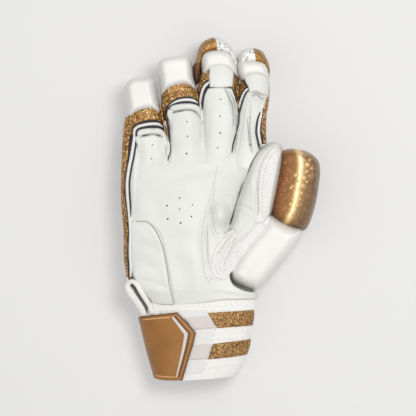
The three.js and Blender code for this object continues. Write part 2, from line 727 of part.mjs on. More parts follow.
// The vent's edge is bound by a padded tape, from the cuff up one side, round and down the other.
const tapeLine = new THREE.CatmullRomCurve3(
  onPalm(BINDING).map(([x, y]) => new THREE.Vector3(x, y, palmSurface(x, y)))
);
const tapeShape = new THREE.Shape();
tapeShape.absarc(0, 0, BINDING_RADIUS, 0, 2 * Math.PI, false);
const tape = solid(
  new THREE.ExtrudeGeometry(tapeShape, { steps: 10, curveSegments: 4, bevelEnabled: false, extrudePath: tapeLine })
);
const besideTape = aroundPatches.add(cuffForm(2 * GAP + PATCH + STRAP)).add(clearOfBody);
piece("slit_binding", tape.subtract(besideTape), ...softLeather);

for (const entry of pieces) {
  entry.body = largest(entry.body);
}

const glove = new THREE.Group();
for (const { name, body, colour, roughness, metalness } of pieces) {
  const material = new THREE.MeshStandardMaterial({ color: colour, roughness, metalness });
  const mesh = new THREE.Mesh(geometryOf(body), material);
  mesh.name = name;
  glove.add(mesh);
}
const box = new THREE.Box3().setFromObject(glove);
const middle = box.getCenter(new THREE.Vector3());
glove.position.set(-middle.x, -middle.y, -box.min.z);
glove.updateMatrixWorld(true);

export default glove;
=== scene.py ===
# A right-hand cricket batting glove, lying on its padded back with the palm up.
# Metres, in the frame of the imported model: +Y to the fingertips, +X to the thumb, +Z up.
import math

import bmesh
import bpy
import numpy as np
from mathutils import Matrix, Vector
from mathutils.geometry import delaunay_2d_cdt


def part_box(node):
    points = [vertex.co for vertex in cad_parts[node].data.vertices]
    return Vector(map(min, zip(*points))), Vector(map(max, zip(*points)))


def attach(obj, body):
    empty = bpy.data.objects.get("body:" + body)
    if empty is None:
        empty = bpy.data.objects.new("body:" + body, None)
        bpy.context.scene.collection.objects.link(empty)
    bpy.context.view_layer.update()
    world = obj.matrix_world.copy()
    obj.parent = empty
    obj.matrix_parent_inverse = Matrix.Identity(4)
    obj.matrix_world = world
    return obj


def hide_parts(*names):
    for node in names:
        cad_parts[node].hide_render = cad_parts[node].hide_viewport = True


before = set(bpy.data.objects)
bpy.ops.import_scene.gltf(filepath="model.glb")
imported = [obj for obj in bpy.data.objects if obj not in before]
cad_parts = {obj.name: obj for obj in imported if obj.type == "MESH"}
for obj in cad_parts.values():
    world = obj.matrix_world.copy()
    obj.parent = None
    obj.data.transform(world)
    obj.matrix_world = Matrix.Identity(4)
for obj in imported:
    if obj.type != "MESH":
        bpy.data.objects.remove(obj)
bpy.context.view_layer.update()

# The place of the glove in the photograph, which is 416 pixels square. A pixel is 0.7826 mm on the
# glove. Column 208 is the left end of the upper cuff stripe, and row 304 is the wrist seam.
PIXEL = 0.7826e-3
MIDDLE_COLUMN = 208.0
WRIST_ROW = 304.0
AXIS_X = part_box("cuff_stripe_upper")[0][0]
WRIST_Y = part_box("palm_leather")[0][1]


def place(column, row):
    return AXIS_X + (column - MIDDLE_COLUMN) * PIXEL, WRIST_Y + (WRIST_ROW - row) * PIXEL


def pixel_of(x, y):
    return (x - AXIS_X) / PIXEL + MIDDLE_COLUMN, WRIST_ROW - (y - WRIST_Y) / PIXEL


# The camera looks straight down from far off, as the photograph does.
LENS = 150.0
SENSOR = 36.0
CAMERA_PLANE = 0.045
camera_data = bpy.data.cameras.new("camera")
camera_data.lens = LENS
camera_data.sensor_width = SENSOR
camera = bpy.data.objects.new("camera", camera_data)
bpy.context.scene.collection.objects.link(camera)
view_x, view_y = place(208.0, 208.0)
camera.location = (view_x, view_y, CAMERA_PLANE + 416 * PIXEL * LENS / SENSOR)
bpy.context.scene.camera = camera
bpy.context.scene.view_settings.view_transform = "Standard"

# A pale table and soft studio light from the upper right.
bpy.ops.object.select_all(action="DESELECT")
bpy.ops.mesh.primitive_plane_add(size=6.0, location=(0, 0, 0))
floor = bpy.context.object
floor.name = "table"

MAIN_SHADER = "ShaderNodeBsdfPrincipled"


def build_nodes(tree, made, wires):
    """Add nodes, each given as type and values. A wire is "node.socket > node.socket"."""
    named = {}
    for name, (kind, values) in made.items():
        kind = kind if kind.startswith("NodeGroup") else "ShaderNode" + kind
        main = kind == MAIN_SHADER
        node = named[name] = tree.nodes["Principled BSDF"] if main else tree.nodes.new(kind)
        for key, value in values.items():
            if key == "stops":
                for position, _ in value[1:-1]:
                    node.color_ramp.elements.new(position)
                for element, (position, colour) in zip(node.color_ramp.elements, value):
                    element.position = position
                    element.color = (*colour, 1)
            elif isinstance(key, int) or key[0].isupper():
                node.inputs[key].default_value = value
            else:
                setattr(node, key, value)
    for wire in wires:
        (start, out), (end, into) = (side.split(".") for side in wire.split(" > "))
        into = int(into) if into.isdigit() else into
        tree.links.new(named[start].outputs[out], named[end].inputs[into])


def new_material(name, values, made=None, wires=()):
    """A material with these values on its main shader, and with more nodes wired to it."""
    material = bpy.data.materials.new(name)
    material.use_nodes = True
    build_nodes(material.node_tree, {"shader": ("BsdfPrincipled", values), **(made or {})}, wires)
    return material


floor.data.materials.append(new_material("pale_table", {
    "Base Color": (0.57, 0.567, 0.563, 1), "Emission Color": (1, 0.995, 0.985, 1),
    "Emission Strength": 0.22, "Roughness": 0.85}))


def soft_light(name, position, size, watts):
    data = bpy.data.lights.new(name, "AREA")
    data.size = size
    data.energy = watts
    lamp = bpy.data.objects.new(name, data)
    lamp.location = position
    lamp.rotation_euler = (-Vector(position)).to_track_quat("-Z", "Y").to_euler()
    bpy.context.scene.collection.objects.link(lamp)


soft_light("window", (0.25, 0.22, 1.1), 0.36, 6.4)
soft_light("bounce", (-0.5, -0.4, 1.2), 1.2, 1.9)
world = bpy.data.worlds.new("studio")
world.use_nodes = True
background = world.node_tree.nodes["Background"]
background.inputs["Color"].default_value = (1, 1, 1, 1)
background.inputs["Strength"].default_value = 0.55
bpy.context.scene.world = world


# Palm leather: one sheet of pale cowhide, from the wrist seam up into the four finger stalls. Its
# surface is worked out from rows that give the left and right edges of the palm and of each finger
# in the photograph, and how high each one is. Folds and seams are pressed into it.
PALM_EDGES = {
    "row": [320, 303, 290, 275, 255, 235, 224, 210, 195, 180, 165, 155, 145, 135],
    "left": [152, 149, 134, 123, 121, 121, 121, 121, 120.5, 120, 120.5, 121, 121, 121],
    "right": [257, 258, 257, 252, 242, 233, 231, 235, 239.5, 244.5, 250, 256, 262, 266],
    "top": [49, 50, 51.5, 52, 52.3, 52.3, 52.3, 52.2, 51.6, 50.8, 48.6, 46.2, 42, 36],
}
FINGER_EDGES = {
    "little": {
        "row": [176, 150, 130, 115, 100, 82, 76],
        "left": [121, 121, 123, 126, 126.5, 128, 132],
        "right": [168, 168.5, 164.5, 161.5, 160, 157, 153],
        "top": [47, 46.8, 47.3, 47.8, 48.3, 48.8, 48.9],
    },
    "ring": {
        "row": [176, 150, 130, 115, 100, 85, 62],
        "left": [167, 169, 166.5, 163, 161, 160, 161],
        "right": [203, 203, 203, 201.5, 198.5, 194, 190],
        "top": [47, 46.5, 47, 47.6, 48.3, 49, 49.4],
    },
    "middle": {
        "row": [176, 150, 130, 110, 95, 80, 60, 46],
        "left": [203, 202.5, 202.3, 200.5, 198, 198, 199, 202],
        "right": [234, 234, 237, 238.5, 239, 237.5, 235, 231],
        "top": [47, 46.5, 46.8, 47.3, 48, 49, 50, 50.2],
    },
    "index": {
        "row": [176, 150, 130, 110, 95, 80, 60],
        "left": [233, 232, 236.5, 239, 239.5, 240, 242],
        "right": [256, 263, 265.5, 267.5, 269.5, 270, 268],
        "top": [46.8, 46.5, 46.8, 47.3, 48, 49, 49.6],
    },
}
THUMB_EDGES = {
    "row": [290, 270, 250, 230, 212, 195, 178, 160, 147],
    "left": [205, 206, 212, 222, 231.5, 238, 243.5, 250.5, 259],
    "right": [248, 257, 266, 272, 276, 280, 283, 285, 283],
    "top": [44, 50, 53.5, 54.6, 55.4, 55.8, 55.8, 54.6, 52],
}
SEAM_DROP = {"palm": 15.0, "finger": 12.0, "thumb": 14.0}


def spread(table, key, rows):
    order = np.argsort(table["row"])
    return np.interp(rows, np.array(table["row"], float)[order], np.array(table[key], float)[order])


def arch(table, half_height, power, columns, rows):
    left = spread(table, "left", rows)
    right = spread(table, "right", rows)
    top = spread(table, "top", rows)
    across = np.abs(columns - (left + right) / 2) / ((right - left) / 2)
    inside = np.clip(1 - np.clip(across, 0, 1) ** power, 0, 1) ** (1 / power)
    outside = np.clip(across - 1, 0, None) * (right - left) / 2 * 2.5
    return top - half_height * (1 - inside) - outside


# Folds and creases in the leather: three points, half-width in pixels and height in millimetres,
# which is below zero for a crease.
FOLDS = [
    ((137, 243), (150, 247), (162, 253), 3.0, -0.5),
    ((138, 250), (150, 254), (160, 259), 4.5, 0.5),
    ((140, 280), (155, 283), (168, 288), 2.2, -0.6),
    ((142, 287), (156, 290), (168, 293), 3.5, 0.5),
    ((202.6, 106), (204, 130), (204.6, 160), 2.2, -1.8),
    ((199.4, 118), (200.4, 134), (200.6, 152), 1.9, -0.6),
    ((208.4, 112), (208, 128), (206.8, 146), 1.9, -0.6),
    ((225, 88), (229.6, 98.6), (233, 114), 1.3, -2.7),
    ((230, 93), (235, 105), (236, 124), 1.3, -2.2),
    ((228, 92), (232.3, 103), (234, 118), 1.4, 0.9),
    ((233, 118), (234, 128), (232, 140), 1.6, -0.5),
    ((249.4, 106), (248.6, 128), (251.4, 153), 1.3, -2.3),
    ((243.6, 112), (241, 130), (238, 150), 1.6, -1.0),
    ((253, 112), (252, 128), (254, 146), 1.6, 0.8),
    ((251, 97.6), (257, 93.8), (265, 100.4), 1.2, -2.8),
    ((249, 100), (257, 98.6), (263, 103), 2.0, 0.9),
    ((239.4, 116), (237, 134), (231.6, 156), 1.5, -1.1),
    ((168.6, 142), (170, 152), (167.6, 164), 1.4, -1.4),
    ((246, 104), (244, 122), (243, 140), 2.0, -0.4),
    ((262, 98), (261, 104), (258, 112), 1.8, -0.8),
    ((145, 137), (146, 150), (147, 165), 3.0, 0.4),
    ((160, 138), (161, 150), (159, 166), 3.0, -0.4),
    ((176, 114), (175, 130), (176, 150), 3.0, 0.4),
    ((195, 114), (196, 132), (196, 150), 3.0, -0.4),
    ((139, 140), (139, 160), (136, 185), 2.6, -0.5),
    ((136, 150), (134, 180), (133, 215), 1.8, 0.5),
    ((150, 172), (176, 176), (202, 170), 6.0, -0.6),
    ((150, 182), (180, 188), (214, 182), 7.0, 0.5),
    ((206, 172), (218, 168), (232, 166), 5.0, -0.6),
    ((220, 178), (228, 184), (236, 192), 4.0, 0.5),
    ((212, 190), (222, 193), (232, 204), 4.0, -0.5),
    ((150, 215), (175, 236), (196, 242), 9.0, -0.6),
    ((176, 250), (182, 272), (184, 298), 6.0, -0.6),
    ((192, 246), (195, 270), (196, 296), 4.5, 0.6),
    ((200, 215), (196, 240), (198, 262), 4.0, -0.5),
    ((138, 262), (150, 266), (160, 272), 3.4, -0.4),
    ((134, 228), (142, 232), (150, 240), 3.4, 0.4),
    ((210, 292), (230, 294), (250, 296), 2.5, -0.4),
    ((137.4, 151), (137, 137.2), (150, 136.2), 1.1, -1.5),
    ((144, 136.4), (161, 131.6), (165.4, 153), 1.1, -1.5),
    ((169.6, 128), (167.8, 112.2), (181, 111.4), 1.1, -1.4),
    ((175, 112), (191, 107.6), (201, 121), 1.1, -1.4),
    ((164.4, 136), (165.6, 144), (166.6, 158), 1.6, 1.0),
    ((172.4, 120), (172.8, 136), (171.6, 156), 1.6, 0.7),
    ((132.4, 261), (132.8, 268), (133.6, 276), 0.9, -1.4),
    ((145, 221), (158.2, 232), (164.4, 250), 1.2, -1.0),
    ((163.2, 246), (168.8, 275), (174.8, 306), 1.2, -1.2),
    ((148, 226), (158, 240), (161, 252), 3.0, 0.5),
    ((162, 262), (166, 280), (170, 300), 2.6, 0.5),
    ((203.6, 214), (202.8, 240), (206, 276), 2.4, 0.5),
    ((207.4, 212), (206.4, 235), (208.4, 270), 1.2, -1.2),
    ((214, 203), (209.6, 216), (213.6, 231), 1.8, -2.2),
    ((211.4, 220), (213.6, 231), (220, 237), 1.7, -1.8),
    ((139, 186), (141, 200), (138, 215), 4.0, 0.4),
    ((158, 190), (156, 205), (160, 220), 6.0, -0.4),
    ((222, 289), (238, 293), (252, 294), 2.2, 0.6),
]


def bend(points, count):
    a, b, c = (np.array(p, float) for p in points)
    t = np.linspace(0, 1, count)[:, None]
    middle = 2 * b - (a + c) / 2
    return (1 - t) ** 2 * a + 2 * t * (1 - t) * middle + t ** 2 * c


def relief(folds, columns, rows):
    """The height of folds at places given in pixels, in millimetres. Each fades out at its ends."""
    height = np.zeros_like(columns)
    for first, second, third, half_width, size in folds:
        path = bend((first, second, third), 10)
        near = np.full_like(columns, 1e9)
        along = np.zeros_like(columns)
        for step, ((x0, y0), (x1, y1)) in enumerate(zip(path, path[1:])):
            dx, dy = x1 - x0, y1 - y0
            t = np.clip(((columns - x0) * dx + (rows - y0) * dy) / (dx * dx + dy * dy), 0, 1)
            distance = (columns - x0 - t * dx) ** 2 + (rows - y0 - t * dy) ** 2
            closer = distance < near
            near = np.where(closer, distance, near)
            along = np.where(closer, (step + t) / (len(path) - 1), along)
        fade = np.clip(np.sin(np.pi * (0.08 + 0.84 * along)), 0, 1) ** 0.7
        height += size * fade * np.exp(-near / half_width ** 2)
    return height


def palm_height(columns, rows):
    """The height of the palm side, in metres, at places given in pixels."""
    forms = [arch(PALM_EDGES, SEAM_DROP["palm"], 2.6, columns, rows)]
    for table in FINGER_EDGES.values():
        finger = arch(table, SEAM_DROP["finger"], 2.4, columns, rows)
        forms.append(finger - np.clip(rows - 168, 0, None) * 0.5)
    stack = np.stack(forms)
    peak = stack.max(axis=0)
    blended = peak + np.log(np.exp((stack - peak) * 0.9).sum(axis=0)) / 0.9
    return (blended + relief(FOLDS, columns, rows)) * 1e-3


def smooth_line(points, step, closed):
    """Points every step pixels along a smooth line; a third value of 1 marks a corner."""
    corners = [i for i, p in enumerate(points) if len(p) > 2]
    plain = [np.array(p[:2], float) for p in points]
    count = len(plain)
    runs = []
    if closed and corners:
        for here, there in zip(corners, corners[1:] + [corners[0] + count]):
            runs.append([plain[i % count] for i in range(here, there + 1)])
    elif closed:
        runs.append([plain[i % count] for i in range(-1, count + 2)])
    else:
        ends = sorted({0, count - 1, *corners})
        runs = [plain[a:b + 1] for a, b in zip(ends, ends[1:])]
    line = []
    for run in runs:
        if closed and not corners:
            knots = run
        else:
            knots = [2 * run[0] - run[1], *run, 2 * run[-1] - run[-2]]
        for a, b, c, d in zip(knots, knots[1:], knots[2:], knots[3:]):
            parts = max(1, int(round(np.linalg.norm(c - b) / step)))
            for k in range(parts):
                t = k / parts
                line.append(0.5 * (2 * b + (c - a) * t + (2 * a - 5 * b + 4 * c - d) * t * t
                                   + (3 * b - a - 3 * c + d) * t ** 3))
    if not closed:
        line.append(plain[-1])
    return np.array(line)


def inside_of(line, columns, rows):
    result = np.zeros(columns.shape, bool)
    for (x0, y0), (x1, y1) in zip(line, np.roll(line, -1, axis=0)):
        crosses = (y0 > rows) != (y1 > rows)
        with np.errstate(divide="ignore", invalid="ignore"):
            result ^= crosses & (columns < (x1 - x0) * (rows - y0) / (y1 - y0) + x0)
    return result


def away_from(line, columns, rows):
    near = np.full(columns.shape, 1e9)
    for (x0, y0), (x1, y1) in zip(line, np.roll(line, -1, axis=0)):
        dx, dy = x1 - x0, y1 - y0
        t = np.clip(((columns - x0) * dx + (rows - y0) * dy) / max(dx * dx + dy * dy, 1e-9), 0, 1)
        near = np.minimum(near, np.hypot(columns - x0 - t * dx, rows - y0 - t * dy))
    return near


def new_piece(name, vertices, faces):
    mesh = bpy.data.meshes.new(name)
    mesh.from_pydata([tuple(v) for v in vertices], [], [tuple(f) for f in faces])
    mesh.validate()
    piece = bpy.data.objects.new(name, mesh)
    bpy.context.scene.collection.objects.link(piece)
    for polygon in mesh.polygons:
        polygon.use_smooth = True
    return piece


def apply_all(piece):
    bpy.ops.object.select_all(action="DESELECT")
    bpy.context.view_layer.objects.active = piece
    piece.select_set(True)
    for modifier in list(piece.modifiers):
        bpy.ops.object.modifier_apply(modifier=modifier.name)
    for polygon in piece.data.polygons:
        polygon.use_smooth = True


def thicken(piece, thick, offset=0.0):
    """Give a surface a wall, which lies below it at offset -1 and above it at 1."""
    wall = piece.modifiers.new("wall", "SOLIDIFY")
    wall.thickness = thick
    wall.offset = offset
    apply_all(piece)


def face_out(piece, upwards=False):
    """Turn faces outwards, or those of an open sheet upwards; drop points without a face."""
    used = bmesh.new()
    used.from_mesh(piece.data)
    bmesh.ops.delete(used, geom=[v for v in used.verts if not v.link_faces], context="VERTS")
    bmesh.ops.recalc_face_normals(used, faces=used.faces)
    if upwards and sum(f.normal.z for f in used.faces) < 0:
        bmesh.ops.reverse_faces(used, faces=used.faces)
    used.to_mesh(piece.data)
    used.free()


def points_inside(line, step):
    """Rows of points inside a closed line, step pixels apart and clear of it."""
    low, high = line.min(axis=0), line.max(axis=0)
    points = []
    for number, row in enumerate(np.arange(low[1], high[1], step * 0.87)):
        columns = np.arange(low[0] + (number % 2) * step / 2, high[0], step)
        points.append(np.stack([columns, np.full_like(columns, row)], axis=1))
    points = np.concatenate(points)
    keep = inside_of(line, points[:, 0], points[:, 1])
    return points[keep & (away_from(line, points[:, 0], points[:, 1]) > step * 0.45)]


HOLE_SIDES = 12


def laid_sheet(name, outline, height, thick, step, holes=(), crown=0.0, crown_width=3.0, side=-1.0):
    """A sheet over an outline in pixels, laid on a height field, with a rounded edge."""
    line = smooth_line(outline, step, True)
    points = points_inside(line, step)
    flat = [Vector(p) for p in line]
    edges = [(i, (i + 1) % len(flat)) for i in range(len(flat))]
    for x, y, radius in holes:
        points = points[np.hypot(points[:, 0] - x, points[:, 1] - y) > radius + step * 0.3]
        start = len(flat)
        for k in range(HOLE_SIDES):
            angle = 2 * math.pi * k / HOLE_SIDES
            flat.append(Vector((x + radius * math.cos(angle), y + radius * math.sin(angle))))
            edges.append((start + k, start + (k + 1) % HOLE_SIDES))
    flat += [Vector(p) for p in points]
    corners, _, faces, _, _, _ = delaunay_2d_cdt(flat, edges, [], 0, 1e-6)
    spots = np.array([(p[0], p[1]) for p in corners])
    triangles = np.array([f[:3] for f in faces])
    middle = spots[triangles].mean(axis=1)
    good = inside_of(line, middle[:, 0], middle[:, 1])
    for x, y, radius in holes:
        good &= np.hypot(middle[:, 0] - x, middle[:, 1] - y) > radius * 0.98
    z = height(spots[:, 0], spots[:, 1])
    if crown:
        edge = np.clip(away_from(line, spots[:, 0], spots[:, 1]) / crown_width, 0, 1)
        z = z + crown * np.sqrt(1 - (1 - edge) ** 2) - crown
    x, y = place(spots[:, 0], spots[:, 1])
    piece = new_piece(name, np.stack([x, y, z], axis=1), triangles[good][:, ::-1])
    face_out(piece, True)
    thicken(piece, thick=thick, offset=side)
    return piece


def dress(piece, material, node=None):
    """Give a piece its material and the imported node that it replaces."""
    piece.data.materials.append(material)
    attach(piece, "root")
    if node:
        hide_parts(node)


def lifted(height, lift):
    """A height field that lies lift metres over another one."""
    return lambda columns, rows: height(columns, rows) + lift


def cut_from(outline, slack=1.0):
    """Work out the cut of a piece, slack times as wide as its outline in pixels; nothing is kept.
    """
    spots = np.array([p[:2] for p in outline], float) * PIXEL
    after = np.roll(spots, -1, axis=0)
    area = abs(np.sum(spots[:, 0] * after[:, 1] - spots[:, 1] * after[:, 0])) / 2
    width, length = np.ptp(spots, axis=0) * slack
    area = min(area * slack ** 2, width * length)
    if area < 0.32 * width * length:
        length = math.hypot(width, length)
        width = area / length


def sewn_sheet(name, outline, height, material, slot, node, held, rests_on, slack=1.0, **shape):
    """A laid sheet with its dress."""
    piece = laid_sheet(name, outline, height, **shape)
    dress(piece, material, node=node)
    cut_from(outline, slack=slack)


def node_group(name, outputs, made, wires):
    """A node group that takes a Scale and gives the outputs named."""
    group = bpy.data.node_groups.new(name, "ShaderNodeTree")
    group.interface.new_socket("Scale", in_out="INPUT", socket_type="NodeSocketFloat")
    for output in outputs:
        group.interface.new_socket(output, in_out="OUTPUT", socket_type="NodeSocketFloat")
    ends = {"entry": ("NodeGroupInput", {}), "leave": ("NodeGroupOutput", {})}
    build_nodes(group, {**ends, "at": ("TexCoord", {}), **made}, wires)
    return group


# Pebbled hide: a colour mask and a bump height over Object coordinates.
HIDE_GRAIN = node_group("hide_grain", ["Mottle", "Height"], {
    "cells": ("TexVoronoi", {"feature": "SMOOTH_F1", "Smoothness": 0.6}),
    "fine": ("TexNoise", {"Detail": 5.0, "Scale": 900.0}),
    "broad": ("TexNoise", {"Detail": 4.0, "Scale": 32.0}),
    "total": ("Math", {"operation": "MULTIPLY_ADD", 1: 0.6}),
}, ["at.Object > cells.Vector", "at.Object > fine.Vector", "at.Object > broad.Vector",
    "entry.Scale > cells.Scale", "cells.Distance > total.0", "fine.Fac > total.2",
    "total.Value > leave.Height", "broad.Fac > leave.Mottle"])


def hide_material(name, dark, light, roughness, grain_size, bump):
    """Leather: mottled between two near colours, pebbled at grain_size metres."""
    return new_material(name, {"Roughness": roughness}, {
        "grain": ("Group", {"node_tree": HIDE_GRAIN, "Scale": 1 / grain_size}),
        "ramp": ("ValToRGB", {"stops": [(0.35, dark), (0.65, light)]}),
        "raised": ("Bump", {"Strength": bump, "Distance": 0.0003}),
    }, ["grain.Mottle > ramp.Fac", "ramp.Color > shader.Base Color", "grain.Height > raised.Height",
        "raised.Normal > shader.Normal"])


PALM_HIDE = hide_material("palm_hide", dark=(0.70, 0.70, 0.665), light=(0.76, 0.76, 0.725),
                          roughness=0.52, grain_size=0.0011, bump=0.35)
LEATHER_THICK = 0.0016
PALM_OUTLINE = [
    (151, 303.5, 1), (146, 296), (139, 286), (134, 279), (131.5, 271), (130.5, 255), (130, 235),
    (129.5, 215), (128.5, 195), (129, 180), (131, 165), (133.5, 150), (136, 137, 1), (145, 135.5),
    (153, 134.5), (160, 136.3), (164, 134, 1), (166.4, 138), (168.3, 146, 1), (169.4, 139),
    (169.2, 130), (168, 114, 1), (174, 112.8), (181, 111.2), (187, 110.3), (193, 111.3),
    (200.5, 116, 1), (202, 119.5), (202.6, 122.5, 1), (202.8, 119), (202.6, 106), (204.5, 95),
    (208, 88.3, 1), (219, 87.6), (232, 88.5, 1), (235.5, 98), (238, 105), (238.7, 111.5, 1),
    (240, 107), (242.6, 99), (247.4, 90.4, 1), (256.5, 88), (263, 88.4), (269.2, 90, 1),
    (268.6, 99), (266, 107), (262, 112), (259, 118), (257.3, 127), (257.5, 137), (259.5, 150, 1),
    (251.5, 163), (246, 178), (241, 193), (236, 209), (229.5, 225, 1), (233, 242), (232.6, 258),
    (231, 271.6, 1), (229.8, 277), (233.2, 284.4), (241, 289.2), (248.6, 291.6), (256, 292.6, 1),
    (258.3, 299, 1), (240, 299.3), (225, 299.6), (205, 302.5), (190, 304.3), (172, 305),
]
PERFORATIONS = [
    (152.5, 144.8, 0.6), (151.4, 158.8, 0.58), (186.8, 121.9, 0.6), (187.5, 136.4, 0.65),
    (186.5, 153.5, 0.88), (220.7, 99.7, 0.6), (220.1, 116.3, 0.65), (220.1, 133.1, 0.8),
    (217.6, 147.9, 0.65), (249.6, 118, 0.55), (250.6, 144.8, 0.88), (179.7, 209.1, 0.6),
    (179.7, 198, 0.75), (167.1, 205.7, 0.88), (192.4, 204.8, 0.62), (167.8, 218.9, 0.88),
    (191.4, 216.6, 0.72), (180.6, 222.9, 0.88),
]
sewn_sheet("palm_sheet", PALM_OUTLINE, palm_height, PALM_HIDE, "leather", "palm_leather",
           "stretched", ["outer_side_mesh_wall", "cuff_band_knit"], thick=LEATHER_THICK, step=0.95,
           holes=PERFORATIONS, crown=0.0008, crown_width=1.6)


# Stitching: short turns of thread that lie on the leather along a seam.
def flow(points, count):
    """A smooth line through points of any number of values, evenly spaced in length."""
    knots = np.array(points, float)
    knots = np.vstack([2 * knots[0] - knots[1], knots, 2 * knots[-1] - knots[-2]])

    def at(where):
        index = np.minimum(where.astype(int), len(points) - 2)
        t = (where - index)[:, None]
        a, b, c, d = (knots[index + k] for k in range(4))
        return 0.5 * (2 * b + (c - a) * t + (2 * a - 5 * b + 4 * c - d) * t ** 2
                      + (3 * b - a - 3 * c + d) * t ** 3)

    dense = np.linspace(0, len(points) - 1, 12 * len(points))
    line = at(dense)
    gone = np.concatenate([[0], np.cumsum(np.linalg.norm(np.diff(line[:, :2], axis=0), axis=1))])
    return at(np.interp(np.linspace(0, gone[-1], count), gone, dense))


def quads(rows, across, closed=False, turned=False, start=0):
    """The faces of a grid of points, row after row. Closed joins the ends of each row."""
    faces = []
    for r in range(rows - 1):
        for k in range(across if closed else across - 1):
            a, b = start + r * across + k, start + r * across + (k + 1) % across
            face = (a, a + across, b + across, b)
            faces.append((a, *face[:0:-1]) if turned else face)
    return faces


def capped(rings, sides, start=0):
    """The faces of a tube made of rings of points, closed at both ends."""
    last = start + (rings - 1) * sides
    return [*quads(rings, sides, closed=True, start=start), tuple(range(start, start + sides)),
            tuple(range(last + sides - 1, last - 1, -1))]


def tube(name, path, radii, sides=8, flat=1.0):
    """A closed tube along points in metres, with rounded ends; flat squashes it in Z."""
    path = np.array(path, float)
    radii = np.broadcast_to(radii, len(path))
    ahead = np.gradient(path, axis=0)
    ahead /= np.linalg.norm(ahead, axis=1)[:, None]
    side = np.cross(ahead, [0, 0, 1.0])
    side /= np.linalg.norm(side, axis=1)[:, None] + 1e-12
    up = np.cross(side, ahead)
    last = len(path) - 1
    stops = [(0, -0.87, 0.5), (0, -0.5, 0.87), *((i, 0.0, 1.0) for i in range(len(path))),
             (last, 0.5, 0.87), (last, 0.87, 0.5)]
    angles = 2 * math.pi * np.arange(sides) / sides
    rings = []
    for i, push, size in stops:
        middle = path[i] + ahead[i] * radii[i] * push
        rings.append(middle + radii[i] * size * (np.cos(angles)[:, None] * side[i]
                                                 + np.sin(angles)[:, None] * up[i] * flat))
    return new_piece(name, np.concatenate(rings), capped(len(rings), sides))


def on_surface(line, height, lift):
    x, y = place(line[:, 0], line[:, 1])
    return np.stack([x, y, height(line[:, 0], line[:, 1]) + lift], axis=1)


def length_of(line):
    return float(np.linalg.norm(np.diff(line, axis=0), axis=1).sum())


STITCH_STEPS = 6
THREAD_ANGLES = (0.0, 1.05, 2.1, 3.14, 4.2, 5.25)


def stitches(name, paths, height, pitch, share, radius, lift):
    """Thread along paths in pixels: each stitch is share of the pitch, in metres."""
    vertices, faces = [], []
    for points in paths:
        count = max(2, int(length_of(flow(points, 60)) * PIXEL / pitch))
        line = on_surface(flow(points, count * STITCH_STEPS + 1), height, lift)
        for start in range(0, count * STITCH_STEPS, STITCH_STEPS):
            run = line[start:start + max(2, int(round(STITCH_STEPS * share))) + 1].copy()
            run[[0, -1], 2] -= radius * 1.2
            side = np.cross(np.gradient(run, axis=0), [0, 0, 1.0])
            side /= np.linalg.norm(side, axis=1)[:, None] + 1e-12
            faces += capped(len(run), len(THREAD_ANGLES), len(vertices))
            for p, s in zip(run, side):
                for a in THREAD_ANGLES:
                    around = math.cos(a) * s + math.sin(a) * np.array([0, 0, 1])
                    vertices.append(p + radius * around)
    return new_piece(name, vertices, faces)


def plain_material(name, colour, roughness, metallic=0.0):
    return new_material(name, {"Base Color": (*colour, 1), "Roughness": roughness,
                               "Metallic": metallic})


THREAD = plain_material("pale_thread", (0.66, 0.64, 0.61), roughness=0.7)
PALM_SEAMS = [
    [(206.5, 100), (206.6, 115), (206.2, 136)],
    [(172, 118), (172.6, 135), (172.8, 152)],
]
seams = stitches("palm_stitching", PALM_SEAMS, palm_height, pitch=0.0022, share=0.7, radius=0.00016,
                 lift=0.0001)
dress(seams, THREAD)


# Heel patch: a second layer of hide sewn over the outer heel of the palm.
HEEL_OUTLINE = [
    (130.6, 221.5, 1), (138, 220.8), (146, 221.3), (152, 225), (158, 233), (163, 245), (166, 258),
    (168, 270), (170, 285), (173, 298), (174.3, 304.6, 1), (162, 304.6), (151.8, 303.3, 1),
    (146.6, 296), (140, 286), (135, 279), (132.2, 271), (131.2, 255), (130.6, 235),
]
heel_height = lifted(palm_height, 0.0013)
sewn_sheet("heel_patch_sheet", HEEL_OUTLINE, heel_height, PALM_HIDE, "leather", "heel_patch",
           "laid", ["palm_sheet"], thick=0.001, step=1.2, crown=0.0006, crown_width=1.4)
HEEL_EDGE = [
    (137, 221.2), (146, 221.9), (151.6, 225.4), (157.4, 233.6), (162.4, 245.4), (165.4, 258.2),
    (167.5, 270), (169.6, 284.6), (172.2, 297), (173.8, 304),
]
heel_edge = tube("heel_patch_edge", on_surface(flow(HEEL_EDGE, 90), heel_height, 0.0), 0.0003)
dress(heel_edge, plain_material("cut_edge", (0.34, 0.34, 0.31), roughness=0.7))


# Painted shade: thin grey tubes along the sharpest creases of the finger stalls stand in for
# the shade in them.
CREASE_SHADE_LINES = [
    ([(225, 88.6), (227.4, 94), (230.4, 99.4), (232.6, 105), (233.4, 114), (233.2, 127)], 0.42),
    ([(229, 91.6), (232.4, 97), (235, 103), (236.4, 110)], 0.26),
    ([(251.4, 96), (254, 94.9), (257, 95), (259.4, 97.4), (262, 98.8), (265, 98.8)], 0.4),
    ([(247.4, 118), (248.4, 130), (250.4, 143), (253, 153)], 0.3),
    ([(137.6, 138), (145, 136.4), (153, 134.6), (160, 135.2), (164.6, 139.6), (165.8, 150)], 0.36),
    ([(169.6, 113.4), (176, 112), (184, 109.9), (191, 110.4), (196.8, 113.4), (201, 118.4)], 0.36),
]
CREASE_POINTS = 34
CREASE_SHADE_GREY = plain_material("crease_painted_shade", (0.42, 0.42, 0.39), roughness=0.8)
for number, (points, radius) in enumerate(CREASE_SHADE_LINES):
    line = flow(points, CREASE_POINTS)
    radii = radius * 1e-3 * np.sin(np.linspace(0.12, math.pi - 0.12, CREASE_POINTS)) ** 0.6
    crease = tube(f"palm_crease_shade_{number}", on_surface(line, palm_height, 0.0009), radii)
    dress(crease, CREASE_SHADE_GREY)


